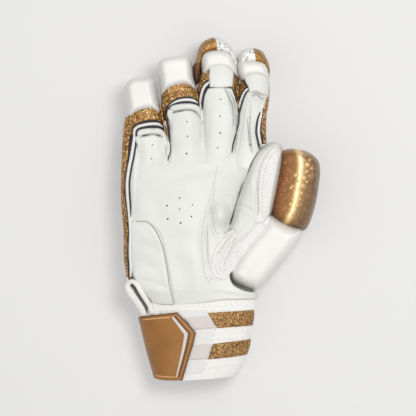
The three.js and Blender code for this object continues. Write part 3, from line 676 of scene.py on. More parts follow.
# Thumb-side patch: a thin layer over the palm below the index finger, held by two rows of stitches.
SIDE_OUTLINE = [
    (216, 163, 1), (225, 161.5), (238, 163.5), (248.5, 166, 1), (245, 178), (240.5, 190),
    (236.5, 204), (230, 224, 1), (234, 232), (228, 240), (221.5, 249), (214.5, 257), (209.5, 264.5),
    (211, 274), (214, 279, 1), (210.6, 279, 1), (208.8, 268), (207.4, 256), (207, 243),
    (207.2, 230), (208.4, 217), (211.4, 206), (213.4, 194), (214.6, 180),
]


def side_height(columns, rows):
    sunk = 1 - np.clip((rows - 166) / 22, 0, 1)
    return palm_height(columns, rows) + 0.0005 - 0.0012 * sunk


sewn_sheet("thumb_side_sheet", SIDE_OUTLINE, side_height, PALM_HIDE, "leather", "thumb_side_patch",
           "laid", ["palm_sheet"], thick=0.0009, step=1.2, crown=0.0005, crown_width=2.0)
SIDE_SEAMS = [
    [(217.5, 166), (214.6, 180), (211.6, 190), (210.2, 197), (207.6, 205), (204.5, 215),
     (202.6, 230), (202.5, 250), (203.6, 265), (206, 276), (211, 283.5)],
    [(212, 202), (219, 197.3), (227, 195.2), (234, 197)],
]
side_seam = stitches("thumb_side_stitching", SIDE_SEAMS, palm_height, pitch=0.0021, share=0.62,
                     radius=0.00019, lift=0.0005)
dress(side_seam, THREAD)


# Thumb gusset: the small puffed piece of hide at the thumb's crotch.
GUSSET_OUTLINE = [
    (216, 201, 1), (223, 199.5), (231, 200), (236, 203, 1), (234.5, 212), (230.5, 221), (228, 226),
    (226, 231), (221, 234.5), (215.5, 232), (212, 226), (211, 218), (212.5, 208),
]


def gusset_height(columns, rows):
    bulge = np.exp(-(((columns - 221) / 7.6) ** 2 + ((rows - 215) / 10.5) ** 2) ** 1.15)
    return palm_height(columns, rows) - 0.0003 + 0.0058 * bulge


gusset = laid_sheet("thumb_gusset_sheet", GUSSET_OUTLINE, gusset_height, thick=0.001, step=1.1,
                    crown=0.0009, crown_width=4.0)
dress(gusset, PALM_HIDE, node="thumb_gusset")


# Back of the hand: a plain sheet of the same hide, under the fingers and the palm, that turns up
# at its edge to meet the side walls. The photograph hides it.
BACK_OUTLINE = [
    (150, 304, 1), (141, 292), (132.4, 280), (127.6, 266), (126, 240), (124.6, 200), (124.6, 170),
    (126, 140), (128, 122), (129, 104), (131, 92), (142, 88), (153, 91), (158, 103), (162, 120),
    (165.5, 140), (168, 160, 1), (167, 130), (163.5, 108), (163, 88), (167, 76), (178, 73),
    (188, 76), (194, 92), (199, 112), (203, 130), (204, 158, 1), (202.5, 130), (200, 104),
    (200, 84), (203, 66), (214, 60), (226, 63), (233, 76), (237, 96), (238, 115), (235, 136),
    (233, 156, 1), (238, 136), (241, 112), (241.5, 94), (243.5, 78), (252, 73), (262, 75),
    (267, 86), (267, 108), (264.5, 130), (262.5, 146), (254, 164), (246, 186), (238, 208),
    (236, 226), (241, 248), (249, 270), (257, 296, 1), (230, 300), (190, 304),
]
BACK_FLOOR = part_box("back_panel")[0][2] + 0.0008
BACK_TURN = 0.007


def back_height(columns, rows):
    return BACK_FLOOR + 0.0 * columns + 0.0004 * np.sin(columns / 9.0) * np.sin(rows / 13.0)


sewn_sheet("back_sheet", BACK_OUTLINE, back_height, PALM_HIDE, "leather", "back_panel", "laid",
           ["little_hand_roll_pad", "index_hand_roll_pad"], thick=0.0016, step=1.6,
           crown=-BACK_TURN, crown_width=8.0, side=1.0)


# Gold side walls: a stiff glittering mesh that joins palm to back. From the palm's edge it bulges
# out and comes in again under it. One piece follows the little finger's side from wrist to tip.
# The mesh's threads twinkle: each small knot has a random value and a height.
GLITTER_KNOTS = node_group("glitter_knots", ["Twinkle", "Height"], {
    "knots": ("TexVoronoi", {"Randomness": 0.75}),
    "split": ("SeparateColor", {}),
}, ["at.Object > knots.Vector", "entry.Scale > knots.Scale", "knots.Color > split.Color",
    "split.Red > leave.Twinkle", "knots.Distance > leave.Height"])
MULTIPLY = {"data_type": "RGBA", "blend_type": "MULTIPLY", "Factor": 1.0}


def glitter_material(name, stops, knot, roughness, metallic):
    """Glittering cloth: each knot, of this size in metres, has a tone of its own."""
    return new_material(name, {"Roughness": roughness, "Metallic": metallic}, {
        "knots": ("Group", {"node_tree": GLITTER_KNOTS, "Scale": 1 / knot}),
        "ramp": ("ValToRGB", {"stops": stops}),
        "gaps": ("MapRange",
                 {"From Min": 0.35, "From Max": 0.75, "To Min": 1.0, "To Max": 0.35}),
        "shade": ("Mix", MULTIPLY),
        "raised": ("Bump", {"invert": True, "Strength": 0.7, "Distance": 0.0004}),
    }, ["knots.Twinkle > ramp.Fac", "knots.Height > gaps.Value", "ramp.Color > shade.A",
        "gaps.Result > shade.B", "shade.Result > shader.Base Color", "knots.Height > raised.Height",
        "raised.Normal > shader.Normal"])


GOLD_MESH = glitter_material("gold_glitter_mesh", stops=[
    (0.0, (0.16, 0.065, 0.012)), (0.35, (0.42, 0.19, 0.035)),
    (0.7, (0.62, 0.32, 0.075)), (1.0, (0.85, 0.62, 0.32)),
], knot=0.0013, roughness=0.42, metallic=0.35)
WALL_LOW = 0.0245
WALL_MIDDLE = 0.036


def side_wall(name, pairs, rows=14):
    """A bulging wall. Each pair is the seam's place and that of the widest point, in pixels."""
    count = int(sum(math.dist(a[:2], b[:2]) for a, b in zip(pairs, pairs[1:])) / 1.6) + 2
    line = flow(pairs, count)
    top = palm_height(line[:, 0], line[:, 1]) - 0.0006
    top = np.maximum(top, WALL_MIDDLE + 0.004)
    vertices = []
    for angle in np.linspace(math.pi / 2 + 0.35, -math.pi / 2 - 0.35, rows):
        out = math.cos(angle)
        columns = line[:, 0] + (line[:, 2] - line[:, 0]) * out
        level = line[:, 1] + (line[:, 3] - line[:, 1]) * out
        x, y = place(columns, level)
        rise = math.sin(angle)
        z = WALL_MIDDLE + ((top - WALL_MIDDLE) if rise > 0 else (WALL_MIDDLE - WALL_LOW)) * rise
        vertices.append(np.stack([x, y, z + 0 * x], axis=1))
    piece = new_piece(name, np.concatenate(vertices), quads(rows, count, turned=True))
    thicken(piece, thick=0.001)
    face_out(piece)
    dress(piece, GOLD_MESH, node=name.replace("_wall", ""))


WALLS = {
    "outer_side_mesh_wall": [
        (130.5, 120, 125.5, 117), (128.5, 128, 123.6, 127), (127.8, 140, 122.6, 140),
        (126.3, 160, 121.6, 160), (125.3, 180, 121, 180), (125.6, 198, 121, 198),
        (128, 215, 122, 215), (129, 232, 123.6, 232), (128.5, 250, 123.6, 250),
        (128.6, 262, 124.2, 262), (130.2, 272, 126, 273), (130.6, 278.6, 127, 279.6),
    ],
    "web_little_ring_wall": [
        (160.5, 106, 161.6, 106), (162, 116, 163.2, 116), (164.6, 130, 166, 130),
        (166, 143, 167.2, 142), (168.3, 150, 168.4, 147), (169.8, 144, 169, 143),
        (170, 136, 169, 136), (168.6, 124, 167, 124), (165, 112, 163, 112),
        (163.4, 104, 161.6, 104),
    ],
    "web_ring_middle_wall": [
        (196, 92, 197.4, 92), (198.5, 101, 199.8, 101), (200.6, 111, 201.6, 111),
        (202, 118, 202.2, 116.6), (202.6, 111, 202, 110.6), (202.2, 102, 200.6, 102),
        (199, 94, 198, 94),
    ],
    "web_middle_index_wall": [
        (236.4, 86, 239, 85), (237.4, 94, 239.2, 94), (238.2, 103, 239.2, 103),
        (238.8, 109, 239, 107.6), (239.8, 103, 239.4, 102.6), (241, 96, 239.4, 96),
        (243.4, 88, 240.6, 87),
    ],
    "index_side_mesh_wall": [
        (266, 98, 269.2, 97), (264.2, 106, 268, 106), (262.6, 114, 266.4, 115),
        (261.8, 124, 266, 125), (262.2, 134, 266, 134), (263.8, 143, 266.4, 143),
    ],
}
for name, pairs in WALLS.items():
    side_wall(name, pairs)


# Gold over the fingertips: the same mesh carries on over the end of each stall, under the roll.
TIP_MESHES = {
    "little": [(124.8, 118, 1), (129, 115), (137, 111.5), (150, 108), (160, 111), (163.5, 117),
               (165, 125, 1), (162.5, 126.5), (158, 123), (150, 122), (143, 123.5), (136, 127.5),
               (133, 135, 1), (126.5, 136, 1), (124.5, 128)],
    "ring": [(160.6, 104, 1), (161.5, 95), (167, 88), (180, 84), (190, 85), (197.5, 88, 1),
             (199.3, 98), (200.5, 103, 1), (193, 99.5), (185, 98.8), (176, 101), (169.5, 105.5),
             (166.5, 112), (165.5, 122, 1), (163.6, 122), (161.5, 113)],
    "middle": [(197, 104, 1), (196.2, 93), (199, 82), (202.5, 74), (208, 68), (220, 66.5),
               (234, 69, 1), (238.4, 77), (240, 88), (239, 104, 1), (236.4, 102), (234, 92),
               (231, 88), (215, 87), (209, 83), (205, 88), (202, 98), (200.4, 105, 1)],
    "index": [(240.2, 84, 1), (243, 79), (250, 76), (262, 75), (268.5, 77, 1), (270.2, 88),
              (269.6, 99, 1), (262, 97.5), (254, 95.5), (250, 93), (247.5, 90), (244.5, 96),
              (242, 104, 1), (239.2, 104), (239, 94)],
}
tip_height = lifted(palm_height, -0.0002)
for finger, outline in TIP_MESHES.items():
    sewn_sheet(f"{finger}_tip_gold", outline, tip_height, GOLD_MESH, "gold_mesh",
               f"{finger}_tip_mesh", "stretched", ["palm_sheet", f"{finger}_tip_roll_pad"],
               slack=1.15, thick=0.001, step=1.2, crown=0.0006, crown_width=2.0)


# Piping: a white cord between two black ones, sewn into each seam between gold mesh and hide.
BLACK_CORD = plain_material("black_cord", (0.018, 0.016, 0.024), roughness=0.55)
WHITE_CORD = hide_material("white_cord", dark=(0.72, 0.72, 0.7), light=(0.8, 0.8, 0.78),
                           roughness=0.5, grain_size=0.0009, bump=0.2)
BLACK_RADIUS = 0.00065
PIPING = {
    "little": {
        "outer": [(131.5, 131.5), (133.5, 126.4), (138, 123.6), (144, 121.8), (150, 120.6),
                  (156, 120.9), (161, 123.2), (163.6, 127.5)],
        "white": [(134, 134), (135.2, 129.6), (139, 126.6), (146, 124.7), (152, 124), (158, 124.2),
                  (162.5, 126.8)],
        "inner": [(137, 137), (137, 131), (139.5, 128.6), (146, 127.6), (152, 127), (158, 126.8),
                  (162.5, 128), (164.6, 131)],
    },
    "ring": {
        "outer": [(165.4, 131), (164.6, 121), (165.4, 112), (168, 106.6), (172, 102.4), (176, 99.8),
                  (181, 98.1), (187, 97.5), (193, 98.2), (198, 101)],
        "white": [(168.5, 109.5), (171.4, 105.4), (176, 102.2), (181, 100.6), (187, 99.9),
                  (193, 100.6), (197.6, 102.6)],
        "inner": [(168.4, 112), (169.6, 107.6), (172.5, 105), (178, 103), (184, 102.3),
                  (190, 102.4), (195, 103.6), (199, 106.5)],
    },
    "middle": {
        "outer": [(197.8, 104), (199, 97), (200.8, 90.6), (203, 85.4), (206, 81.8), (209.2, 80)],
        "white": [(200, 106), (201, 98), (202.6, 91.4), (204.8, 86.4), (209, 82.4)],
        "inner": [(202, 109), (202.5, 103), (203.2, 97), (204.4, 92), (206.4, 88), (209.4, 84.8)],
    },
    "index": {
        "outer": [(238.4, 105), (239.6, 99.4), (242, 93.6), (244.4, 89.6), (247, 87)],
        "white": [(239.4, 108), (240.8, 102), (243.2, 95.6), (245.8, 91.2), (248.4, 88.4)],
        "inner": [(239.6, 113), (240.6, 108.5), (242, 103), (243.8, 97.4), (246, 93), (249, 89.6)],
    },
}


def bead(name, points, radius, lift, material, node=None, flat=1.0, fade=True, step=1.1,
         height=palm_height):
    """A cord along a path in pixels, thinner towards its ends where it fades."""
    count = max(6, int(length_of(flow(points, 60)) / step))
    ends = np.clip(np.minimum(np.arange(count), np.arange(count)[::-1]) / (0.12 * count), 0, 1)
    radii = radius * (0.45 + 0.55 * ends) if fade else radius
    piece = tube(name, on_surface(flow(points, count), height, lift), radii, flat=flat)
    dress(piece, material, node=node)


for finger, cords in PIPING.items():
    bead(f"{finger}_piping_white", cords["white"], radius=0.0013, lift=0.0001, material=WHITE_CORD,
         node=f"{finger}_piping", flat=0.8)
    for which in ("outer", "inner"):
        bead(f"{finger}_piping_{which}", cords[which], radius=BLACK_RADIUS, lift=0.0007,
             material=BLACK_CORD)

# The same piping runs down the little-finger side, and black cords edge the webs and the index.
OUTER_BLACK = [(132, 131), (130.4, 145), (129, 155), (127, 168), (125.6, 180), (125.5, 195),
               (126.6, 205), (128, 216), (129, 232), (128, 250), (128.2, 264), (128.6, 277)]
INNER_BLACK = [
    (136.4, 132.6), (136.2, 138), (136, 145), (134, 157), (131.2, 170), (129.6, 182), (129.9, 195),
    (130.6, 205), (130.8, 217),
]
OUTER_WHITE = [
    (134.8, 131), (134.3, 136), (133.4, 145), (131.6, 157), (129, 170), (127.6, 182), (127.8, 195),
    (128.8, 205), (130, 217), (131, 232), (130.6, 250), (131, 264), (130.8, 276),
]
bead("outer_piping_white", OUTER_WHITE, radius=0.0015, lift=0.0001, material=WHITE_CORD,
     node="outer_piping", flat=0.8)
bead("outer_piping_black", OUTER_BLACK, radius=BLACK_RADIUS, lift=0.0006, material=BLACK_CORD)
bead("inner_piping_black", INNER_BLACK, radius=BLACK_RADIUS, lift=0.0007, material=BLACK_CORD)
BLACK_SEAMS = {
    "little_ring_cord": [(165, 116), (167, 122), (168.9, 129), (169.6, 140), (170, 150), (169, 155),
                         (168, 160.5)],
    "middle_index_cord": [(240, 110), (239.2, 116), (239, 121), (237.8, 127), (235.2, 136),
                          (233, 145), (232, 152.5)],
    "middle_right_cord": [(235, 86), (235.3, 90), (235.9, 96), (236.6, 102)],
    "index_left_cord": [(243, 80), (245.4, 84.4), (248.4, 89)],
    "index_outer_cord": [(264, 108), (262.2, 114.5), (261, 122), (260.6, 130), (261.8, 137),
                         (263.4, 143)],
    "index_inner_cord": [(260.2, 112), (258, 118), (256.6, 124), (256, 133), (257.4, 140),
                         (259, 148)],
}
for name, points in BLACK_SEAMS.items():
    bead(name, points, radius=BLACK_RADIUS, lift=0.0005, material=BLACK_CORD)
bead("little_ring_white_cord", [(165, 121), (166, 130), (167.3, 139), (168.2, 147), (167.6, 156)],
     radius=0.0015, lift=0.0013, material=WHITE_CORD, flat=0.8)
bead("ring_middle_white_cord", [(200.4, 103), (201.2, 110), (201.8, 116), (202.2, 122)],
     radius=0.0013, lift=0.0012, material=WHITE_CORD, flat=0.8)
bead("index_white_cord",
     [(262, 111), (260.2, 117), (259, 124), (258.5, 132), (259.5, 139), (261.2, 146)],
     radius=0.0012, lift=0.0002, material=WHITE_CORD, flat=0.8)

# Rolled ends: the palm hide folds over a soft core at the ends of the little and ring stall.
ROLLED_ENDS = {
    "little_rolled_end": [(139.5, 146), (138.2, 138), (140, 133.2), (145, 131.6), (152, 131),
                          (158, 131.2), (162, 134), (164, 140), (165.8, 150)],
    "ring_rolled_end": [(170.5, 120), (170.4, 112.6), (173, 108.8), (179, 107.2), (186, 106.4),
                        (192, 106.8), (197, 109), (200.2, 115)],
}
for name, points in ROLLED_ENDS.items():
    bead(name, points, radius=0.0026, lift=-0.0002, material=PALM_HIDE, flat=0.62, step=0.8)


# Padded rolls: foam under soft hide, sewn shut at both ends. The hidden ones under the fingers and
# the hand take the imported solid's form, blown up a little and drawn in at its edges.
ROLL_HIDE = hide_material("roll_hide", dark=(0.79, 0.77, 0.735), light=(0.83, 0.81, 0.775),
                          roughness=0.48, grain_size=0.0008, bump=0.16)
CLOTH_FRAMES = 14
CLOTH_PRESSURE = 4.0


def stuffed(name, node, voxel, swell):
    """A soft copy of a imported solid, that bulges at most swell metres from it."""
    piece = bpy.data.objects.new(name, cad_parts[node].data.copy())
    bpy.context.scene.collection.objects.link(piece)
    piece.data.materials.clear()
    merged = bmesh.new()
    merged.from_mesh(piece.data)
    bmesh.ops.remove_doubles(merged, verts=merged.verts, dist=1e-5)
    bmesh.ops.recalc_face_normals(merged, faces=merged.faces)
    merged.to_mesh(piece.data)
    merged.free()
    even = piece.modifiers.new("even", "REMESH")
    even.mode = "VOXEL"
    even.voxel_size = voxel
    soft = piece.modifiers.new("soft", "SMOOTH")
    soft.factor = 0.5
    soft.iterations = 4
    apply_all(piece)
    start = np.array([v.co for v in piece.data.vertices])
    cloth = piece.modifiers.new("foam", "CLOTH")
    cloth.settings.quality = 4
    cloth.settings.use_pressure = True
    cloth.settings.uniform_pressure_force = CLOTH_PRESSURE
    cloth.settings.effector_weights.gravity = 0
    for step in range(1, CLOTH_FRAMES + 1):
        bpy.context.scene.frame_set(step)
    apply_all(piece)
    bpy.context.scene.frame_set(1)
    after = np.array([v.co for v in piece.data.vertices])
    moved = after - start
    far = np.linalg.norm(moved, axis=1)[:, None]
    after = start + moved * np.minimum(1, swell / np.maximum(far, 1e-9))
    after[:, 2] = np.maximum(after[:, 2], 0.0)
    for vertex, spot in zip(piece.data.vertices, after):
        vertex.co = spot
    finer = piece.modifiers.new("finer", "SUBSURF")
    finer.levels = 1
    finer.render_levels = 1
    apply_all(piece)
    return piece


for finger in FINGER_EDGES:
    for part, voxel in (("mid", 0.0028), ("base", 0.0028), ("hand", 0.0032)):
        node = f"{finger}_{part}_roll"
        roll = stuffed(f"{node}_pad", node, voxel=voxel, swell=0.0012)
        dress(roll, ROLL_HIDE, node=node)


# Tip rolls: each folds up over a finger's end from behind. A cushion has rings of points close
# inside its edge, and its upper side puckers in waves round the seam.
INNER_RINGS = (0.06, 0.2)
PUCKER_WAVES = (7, 11, 17, 23, 29, 37)


def cushion(name, outline, top, bottom, edge, step, seed=0, pucker=0.0, ridge=None, cut=None,
            taper=0.0):
    """A stuffed form over an outline in pixels. Its sides round off within edge pixels, and cut is
    a line of pixels that its faces keep to, where two materials meet. Taper draws its foot in."""
    line = smooth_line(outline, step, True)
    points = points_inside(line, step)
    centre = line.mean(axis=0)
    inset = []
    for share in INNER_RINGS:
        for p in line:
            inset.append(p + (centre - p) / np.linalg.norm(centre - p) * edge * share)
    inset = np.array(inset)
    inset = inset[inside_of(line, inset[:, 0], inset[:, 1])]
    points = points[away_from(line, points[:, 0], points[:, 1]) > edge * 0.28]
    flat = [Vector(p) for p in line] + [Vector(p) for p in inset] + [Vector(p) for p in points]
    edges = [(i, (i + 1) % len(line)) for i in range(len(line))]
    if cut:
        marks = flow(cut, 14)
        edges += [(len(flat) + i, len(flat) + i + 1) for i in range(len(marks) - 1)]
        flat += [Vector(p) for p in marks]
    corners, _, faces, _, _, _ = delaunay_2d_cdt(flat, edges, [], 1, 1e-6)
    spots = np.array([(p[0], p[1]) for p in corners])
    triangles = np.array([f[:3] for f in faces])
    depth = away_from(line, spots[:, 0], spots[:, 1])
    share = np.clip(depth / edge, 0, 1)
    full = np.sqrt(np.clip(1 - (1 - share) ** 2, 0, 1))
    on_rim = depth < 1e-4
    high_z = top(spots[:, 0], spots[:, 1])
    low_z = bottom(spots[:, 0], spots[:, 1])
    middle = (high_z + low_z) / 2
    if pucker:
        rng = np.random.default_rng(seed)
        phase = rng.uniform(0, 6.28, len(PUCKER_WAVES))
        angle = np.arctan2(spots[:, 1] - line[:, 1].mean(), spots[:, 0] - line[:, 0].mean())
        wave = sum(np.sin(angle * k + p) for k, p in zip(PUCKER_WAVES, phase)) / 3
        high_z = high_z + pucker * wave * np.exp(-((share - 0.35) / 0.3) ** 2)
    if ridge is not None:
        high_z = high_z + ridge(spots[:, 0], spots[:, 1])
    upper = middle + (high_z - middle) * full
    lower = middle - (middle - low_z) * full
    x, y = place(spots[:, 0], spots[:, 1])
    count = len(spots)
    foot = spots + (centre - spots) * taper * full[:, None] ** 2
    foot_x, foot_y = place(foot[:, 0], foot[:, 1])
    vertices = np.concatenate([np.stack([x, y, upper], axis=1),
                               np.stack([foot_x, foot_y, lower], axis=1)])
    twin = np.where(on_rim, np.arange(count), np.arange(count) + count)
    under = twin[triangles]
    piece = new_piece(name, vertices, np.concatenate([triangles[:, ::-1], under]))
    face_out(piece)
    return piece


TIP_ROLLS = {
    "little": ([(128.4, 118.5), (126.4, 105), (124.4, 93), (124.4, 85), (128.5, 79), (134, 76.6),
                (141, 76), (148.5, 76.2), (153.6, 79), (155.6, 86), (157, 94), (159, 102),
                (160.8, 110), (161.6, 116.6), (155, 112.6), (149.5, 111.8), (143, 112.8),
                (136.5, 115.2)], 0.0522, 0.0016),
    "ring": ([(161.2, 104), (160.2, 92), (158.8, 78), (157.2, 70), (157.8, 61.4), (162.4, 57.6),
              (169.6, 55.8), (178, 54.6), (185.8, 54.8), (190.6, 58.8), (192.6, 65.6), (193.6, 76),
              (195.6, 84), (196.8, 91), (190, 88.2), (183, 87.4), (176, 88.8), (169, 91.6),
              (164.4, 95.4)], 0.0534, 0.0016),
    "middle": ([(203, 77), (201, 67), (200.6, 59), (203.4, 52.6), (210, 49.4), (218, 48.8),
                (226, 50.2), (231.6, 53.6), (234.8, 59), (237.4, 66), (239, 77), (233, 75),
                (226, 72.5), (218, 71.5), (210.5, 73)], 0.0545, 0.002),
    "index": ([(243, 82), (238.8, 77), (237, 69), (238.6, 61.6), (246, 59.6), (254, 59.4),
               (261.6, 60.6), (266, 63.6), (268.8, 70), (269.8, 80), (262, 79.6), (255, 79.2),
               (248.6, 80)], 0.0543, 0.002),
}


def level(value):
    return lambda columns, rows: value + 0.0 * columns


for number, (finger, (outline, top_z, low_z)) in enumerate(TIP_ROLLS.items()):
    node = f"{finger}_tip_roll"
    roll = cushion(f"{node}_pad", outline, level(top_z), level(low_z), edge=8.0, step=1.5,
                   seed=11 + number, pucker=0.0005, taper=0.3)
    dress(roll, ROLL_HIDE, node=node)


# Outer guards: curved pads beyond the middle and the index tip. Part is gold, part pale with print.
GOLD_GUARD = glitter_material("gold_guard_cloth", stops=[
    (0.0, (0.33, 0.15, 0.03)), (0.4, (0.46, 0.22, 0.045)),
    (0.75, (0.57, 0.29, 0.065)), (1.0, (0.7, 0.42, 0.14)),
], knot=0.0011, roughness=0.38, metallic=0.4)


# Pale hide with small grey print marks in it.
SPECKLED = new_material("speckled_print", {"Roughness": 0.5}, {
    "at": ("TexCoord", {}),
    "cells": ("TexVoronoi", {"Scale": 470.0}),
    "split": ("SeparateColor", {}),
    "size": ("Math", {"operation": "MULTIPLY", 1: 0.6}),
    "mark": ("Math", {"operation": "LESS_THAN"}),
    "tone": ("Mix",
             {"data_type": "RGBA", "A": (0.84, 0.83, 0.81, 1), "B": (0.46, 0.46, 0.44, 1)}),
}, ["at.Object > cells.Vector", "cells.Color > split.Color", "split.Green > size.0",
    "cells.Distance > mark.0", "size.Value > mark.1", "mark.Value > tone.Factor",
    "tone.Result > shader.Base Color"])
# The gold of the middle guard turns dark brown at its lower left, below row 62 and left of column
# 199.
DARK_GOLD_EDGE = hide_material("dark_gold_edge", dark=(0.12, 0.045, 0.018), light=(0.19, 0.085, 0.03),
                          roughness=0.5, grain_size=0.0009, bump=0.4)
DARK_EDGE_ROW = 62.0
DARK_EDGE_COLUMN = 199.0
GUARDS = {
    "middle": ([(195.5, 84, 1), (193.4, 77), (192.3, 70), (192.6, 64.5), (194.6, 60), (196.2, 54.5),
                (198.6, 45.4), (202.6, 39.8), (208.2, 36.8), (213.5, 35.2), (220, 36.2),
                (226.6, 40), (231.4, 45.2), (235.2, 50.4), (238, 57), (239.4, 66), (239, 76, 1),
                (235, 69), (229, 57), (219, 54), (208, 56), (203.5, 62), (201.8, 70), (200, 80, 1)],
               [(212.8, 34), (215.4, 39), (217, 45), (216.8, 60)], True, 0.0445),
    "index": ([(238.5, 77, 1), (237, 66), (237.4, 58), (239.2, 52.2), (242.6, 48.4), (248, 46.3),
               (253.6, 46), (258.4, 46.9), (263.6, 50), (267.4, 56), (270, 62), (270.8, 68),
               (270.4, 75, 1), (265, 69), (256, 66), (246, 66)],
              [(252.6, 44), (253.6, 49), (255.2, 56), (256.4, 70)], False, 0.044),
}
for number, (finger, (outline, cut, gold_left, top_z)) in enumerate(GUARDS.items()):
    node = f"{finger}_guard"
    guard = cushion(f"{node}_pad", outline, level(top_z), level(0.002), edge=7.5, step=1.2,
                    seed=31 + number, pucker=0.0003, cut=cut, taper=0.35)
    guard.data.materials.append(SPECKLED)
    guard.data.materials.append(GOLD_GUARD)
    guard.data.materials.append(DARK_GOLD_EDGE)
    marks = flow(cut, 40)
    for polygon in guard.data.polygons:
        column, row = pixel_of(*polygon.center.xy)
        left = column < np.interp(row, marks[:, 1], marks[:, 0])
        polygon.material_index = int(left == gold_left)
        if gold_left and left and row > DARK_EDGE_ROW and column < DARK_EDGE_COLUMN:
            polygon.material_index = 2
    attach(guard, "root")
    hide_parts(node)


# Tip straps: hide tabs that run from the stall up under the tip rolls of middle and index.
TIP_STRAPS = {
    "middle": [(209.3, 68, 1), (214, 66.8), (222, 66), (229, 67.4), (233.6, 69, 1), (233.8, 77),
               (233, 86.6, 1), (222, 88.2), (209.4, 87.4, 1), (209, 78)],
    "index": [(243.6, 77.6, 1), (250, 74.6), (258, 74), (268.6, 75.6, 1), (269.6, 86),
              (268.6, 96.6, 1), (261, 94.4), (256.6, 92.2), (251.6, 92.8), (248.6, 92.4, 1),
              (247.6, 87), (245.6, 83)],
}


def strap_height(columns, rows):
    rise = np.clip((86 - rows) / 18, 0, 1)
    return palm_height(columns, rows) + 0.0013 + 0.0018 * rise ** 2


for finger, outline in TIP_STRAPS.items():
    sewn_sheet(f"{finger}_strap_sheet", outline, strap_height, PALM_HIDE, "leather",
               f"{finger}_tip_strap", "laid", ["palm_sheet", f"{finger}_tip_roll_pad"],
               thick=0.0014, step=1.1, crown=0.001, crown_width=1.8)


# Thumb sleeve: a hide tube that crosses the palm's edge, with a double seam at its middle.
THUMB_FOLDS = [
    ((236, 206), (246, 208), (256, 214), 1.4, -1.5),
    ((235, 210), (245, 212), (255, 218), 1.6, 0.8),
    ((254.6, 178), (256, 195), (256.6, 214), 1.3, -1.7),
    ((251.6, 182), (252.6, 196), (252.6, 206), 2.2, 0.7),
    ((262, 150), (254, 166), (248, 186), 3.5, 0.5),
    ((246, 190), (243, 198), (241, 205), 2.6, -0.4),
]
THUMB_LOW = 0.027


def thumb_height(columns, rows):
    return (arch(THUMB_EDGES, SEAM_DROP["thumb"], 2.2, columns, rows)
            + relief(THUMB_FOLDS, columns, rows)) * 1e-3


SLEEVE_OUTLINE = [
    (258.4, 150, 1), (262.6, 146.8), (268, 143.2), (276, 141.8), (283, 145.4, 1), (282.4, 160),
    (279, 180), (275, 200), (271, 214), (262, 227), (251, 239), (238, 252), (228, 262, 1),
    (222, 258), (226, 246), (230.5, 236), (228, 228, 1), (231.5, 221), (234, 211), (237, 200),
    (241, 189), (246, 176), (250.6, 163),
]
sleeve = cushion("thumb_sleeve_tube", SLEEVE_OUTLINE, thumb_height, level(THUMB_LOW), edge=7.0,
                 step=1.2, taper=0.1)
dress(sleeve, PALM_HIDE, node="thumb_sleeve")
SLEEVE_SEAMS = [[(236.5, 203.6), (246, 205.6), (256, 211.6)],
                [(235.4, 208.6), (245.4, 210.4), (255.4, 216.2)]]
sleeve_seam = stitches("thumb_sleeve_stitching", SLEEVE_SEAMS, thumb_height, pitch=0.0021,
                       share=0.65, radius=0.00016, lift=0.0)
dress(sleeve_seam, THREAD)


# Open mesh: a soft knitted strip beside the thumb, which carries on under the thumb roll.
WHITE_NET = new_material("white_spacer_net", {"Roughness": 0.75, "Sheen Weight": 0.2}, {
    "at": ("TexCoord", {}),
    "turned": ("Mapping",
               {"Rotation": (0, 0, math.radians(-28)), "Scale": (1.0, 0.72, 1.0)}),
    "holes": ("TexVoronoi", {"Scale": 520.0, "Randomness": 0.4}),
    "ramp": ("ValToRGB",
             {"stops": [(0.1, (0.70, 0.64, 0.62)), (0.5, (0.80, 0.785, 0.765))]}),
    "raised": ("Bump", {"Strength": 0.6, "Distance": 0.0005}),
}, ["at.Object > turned.Vector", "turned.Vector > holes.Vector", "holes.Distance > ramp.Fac",
    "ramp.Color > shader.Base Color", "holes.Distance > raised.Height",
    "raised.Normal > shader.Normal"])
STRIP_OUTLINE = [
    (274.6, 145.6, 1), (268.4, 151), (262.4, 160), (258.6, 171), (257, 185), (257, 200),
    (257.4, 212), (254.8, 222.6, 1), (262.4, 223.4, 1), (268.6, 215), (270.6, 205), (273.4, 188),
    (277.6, 166), (281.4, 151, 1),
]
strip_height = lifted(thumb_height, 0.0006)
sewn_sheet("thumb_strip_net", STRIP_OUTLINE, strip_height, WHITE_NET, "white_mesh",
           "thumb_mesh_strip", "laid", ["thumb_sleeve_tube"], thick=0.001, step=1.2, crown=0.0005,
           crown_width=3.0)

THUMB_ROLL_OUTLINE = [
    (271, 214.8), (263, 220.6), (252.6, 232.4), (243.4, 244), (236, 255.4), (231.4, 265.4),
    (228.8, 272.4), (232.4, 280.4), (240, 284.9), (248.8, 288.6), (257, 290.2), (264, 286.4),
    (271, 278.6), (281, 266.4), (291, 254.4), (298.6, 243.4), (302.4, 236), (301.4, 228.6),
    (294, 226.2), (286, 222.8), (278, 218.2),
]
THUMB_ROLL_TOP = 0.0572
THUMB_ROLL_LOW = 0.0035
THUMB_ROLL_EDGE = 12.5
WEB_OUTLINE = [
    (254.6, 218.6, 1), (271, 216.4, 1), (268.6, 223.6), (262, 233), (252.4, 245), (245, 256),
    (239, 265), (233, 271), (229, 273.4, 1), (227.6, 277.4), (221.6, 280.6), (214.4, 278.4),
    (210.4, 272), (209.4, 264), (209.2, 252), (211.4, 243.6), (217, 237.4), (225, 233), (233, 229),
    (243.6, 224.6),
]


def roll_surface(columns, rows):
    """The height of the thumb roll, which is zero outside its outline."""
    line = smooth_line(THUMB_ROLL_OUTLINE, 2.0, True)
    depth = np.where(inside_of(line, columns, rows), away_from(line, columns, rows), 0.0)
    share = np.clip(depth / THUMB_ROLL_EDGE, 0, 1)
    middle = (THUMB_ROLL_TOP + THUMB_ROLL_LOW) / 2
    dome = np.sqrt(1 - (1 - share) ** 2)
    return np.where(depth > 0, middle + (THUMB_ROLL_TOP - middle) * dome, 0.0)


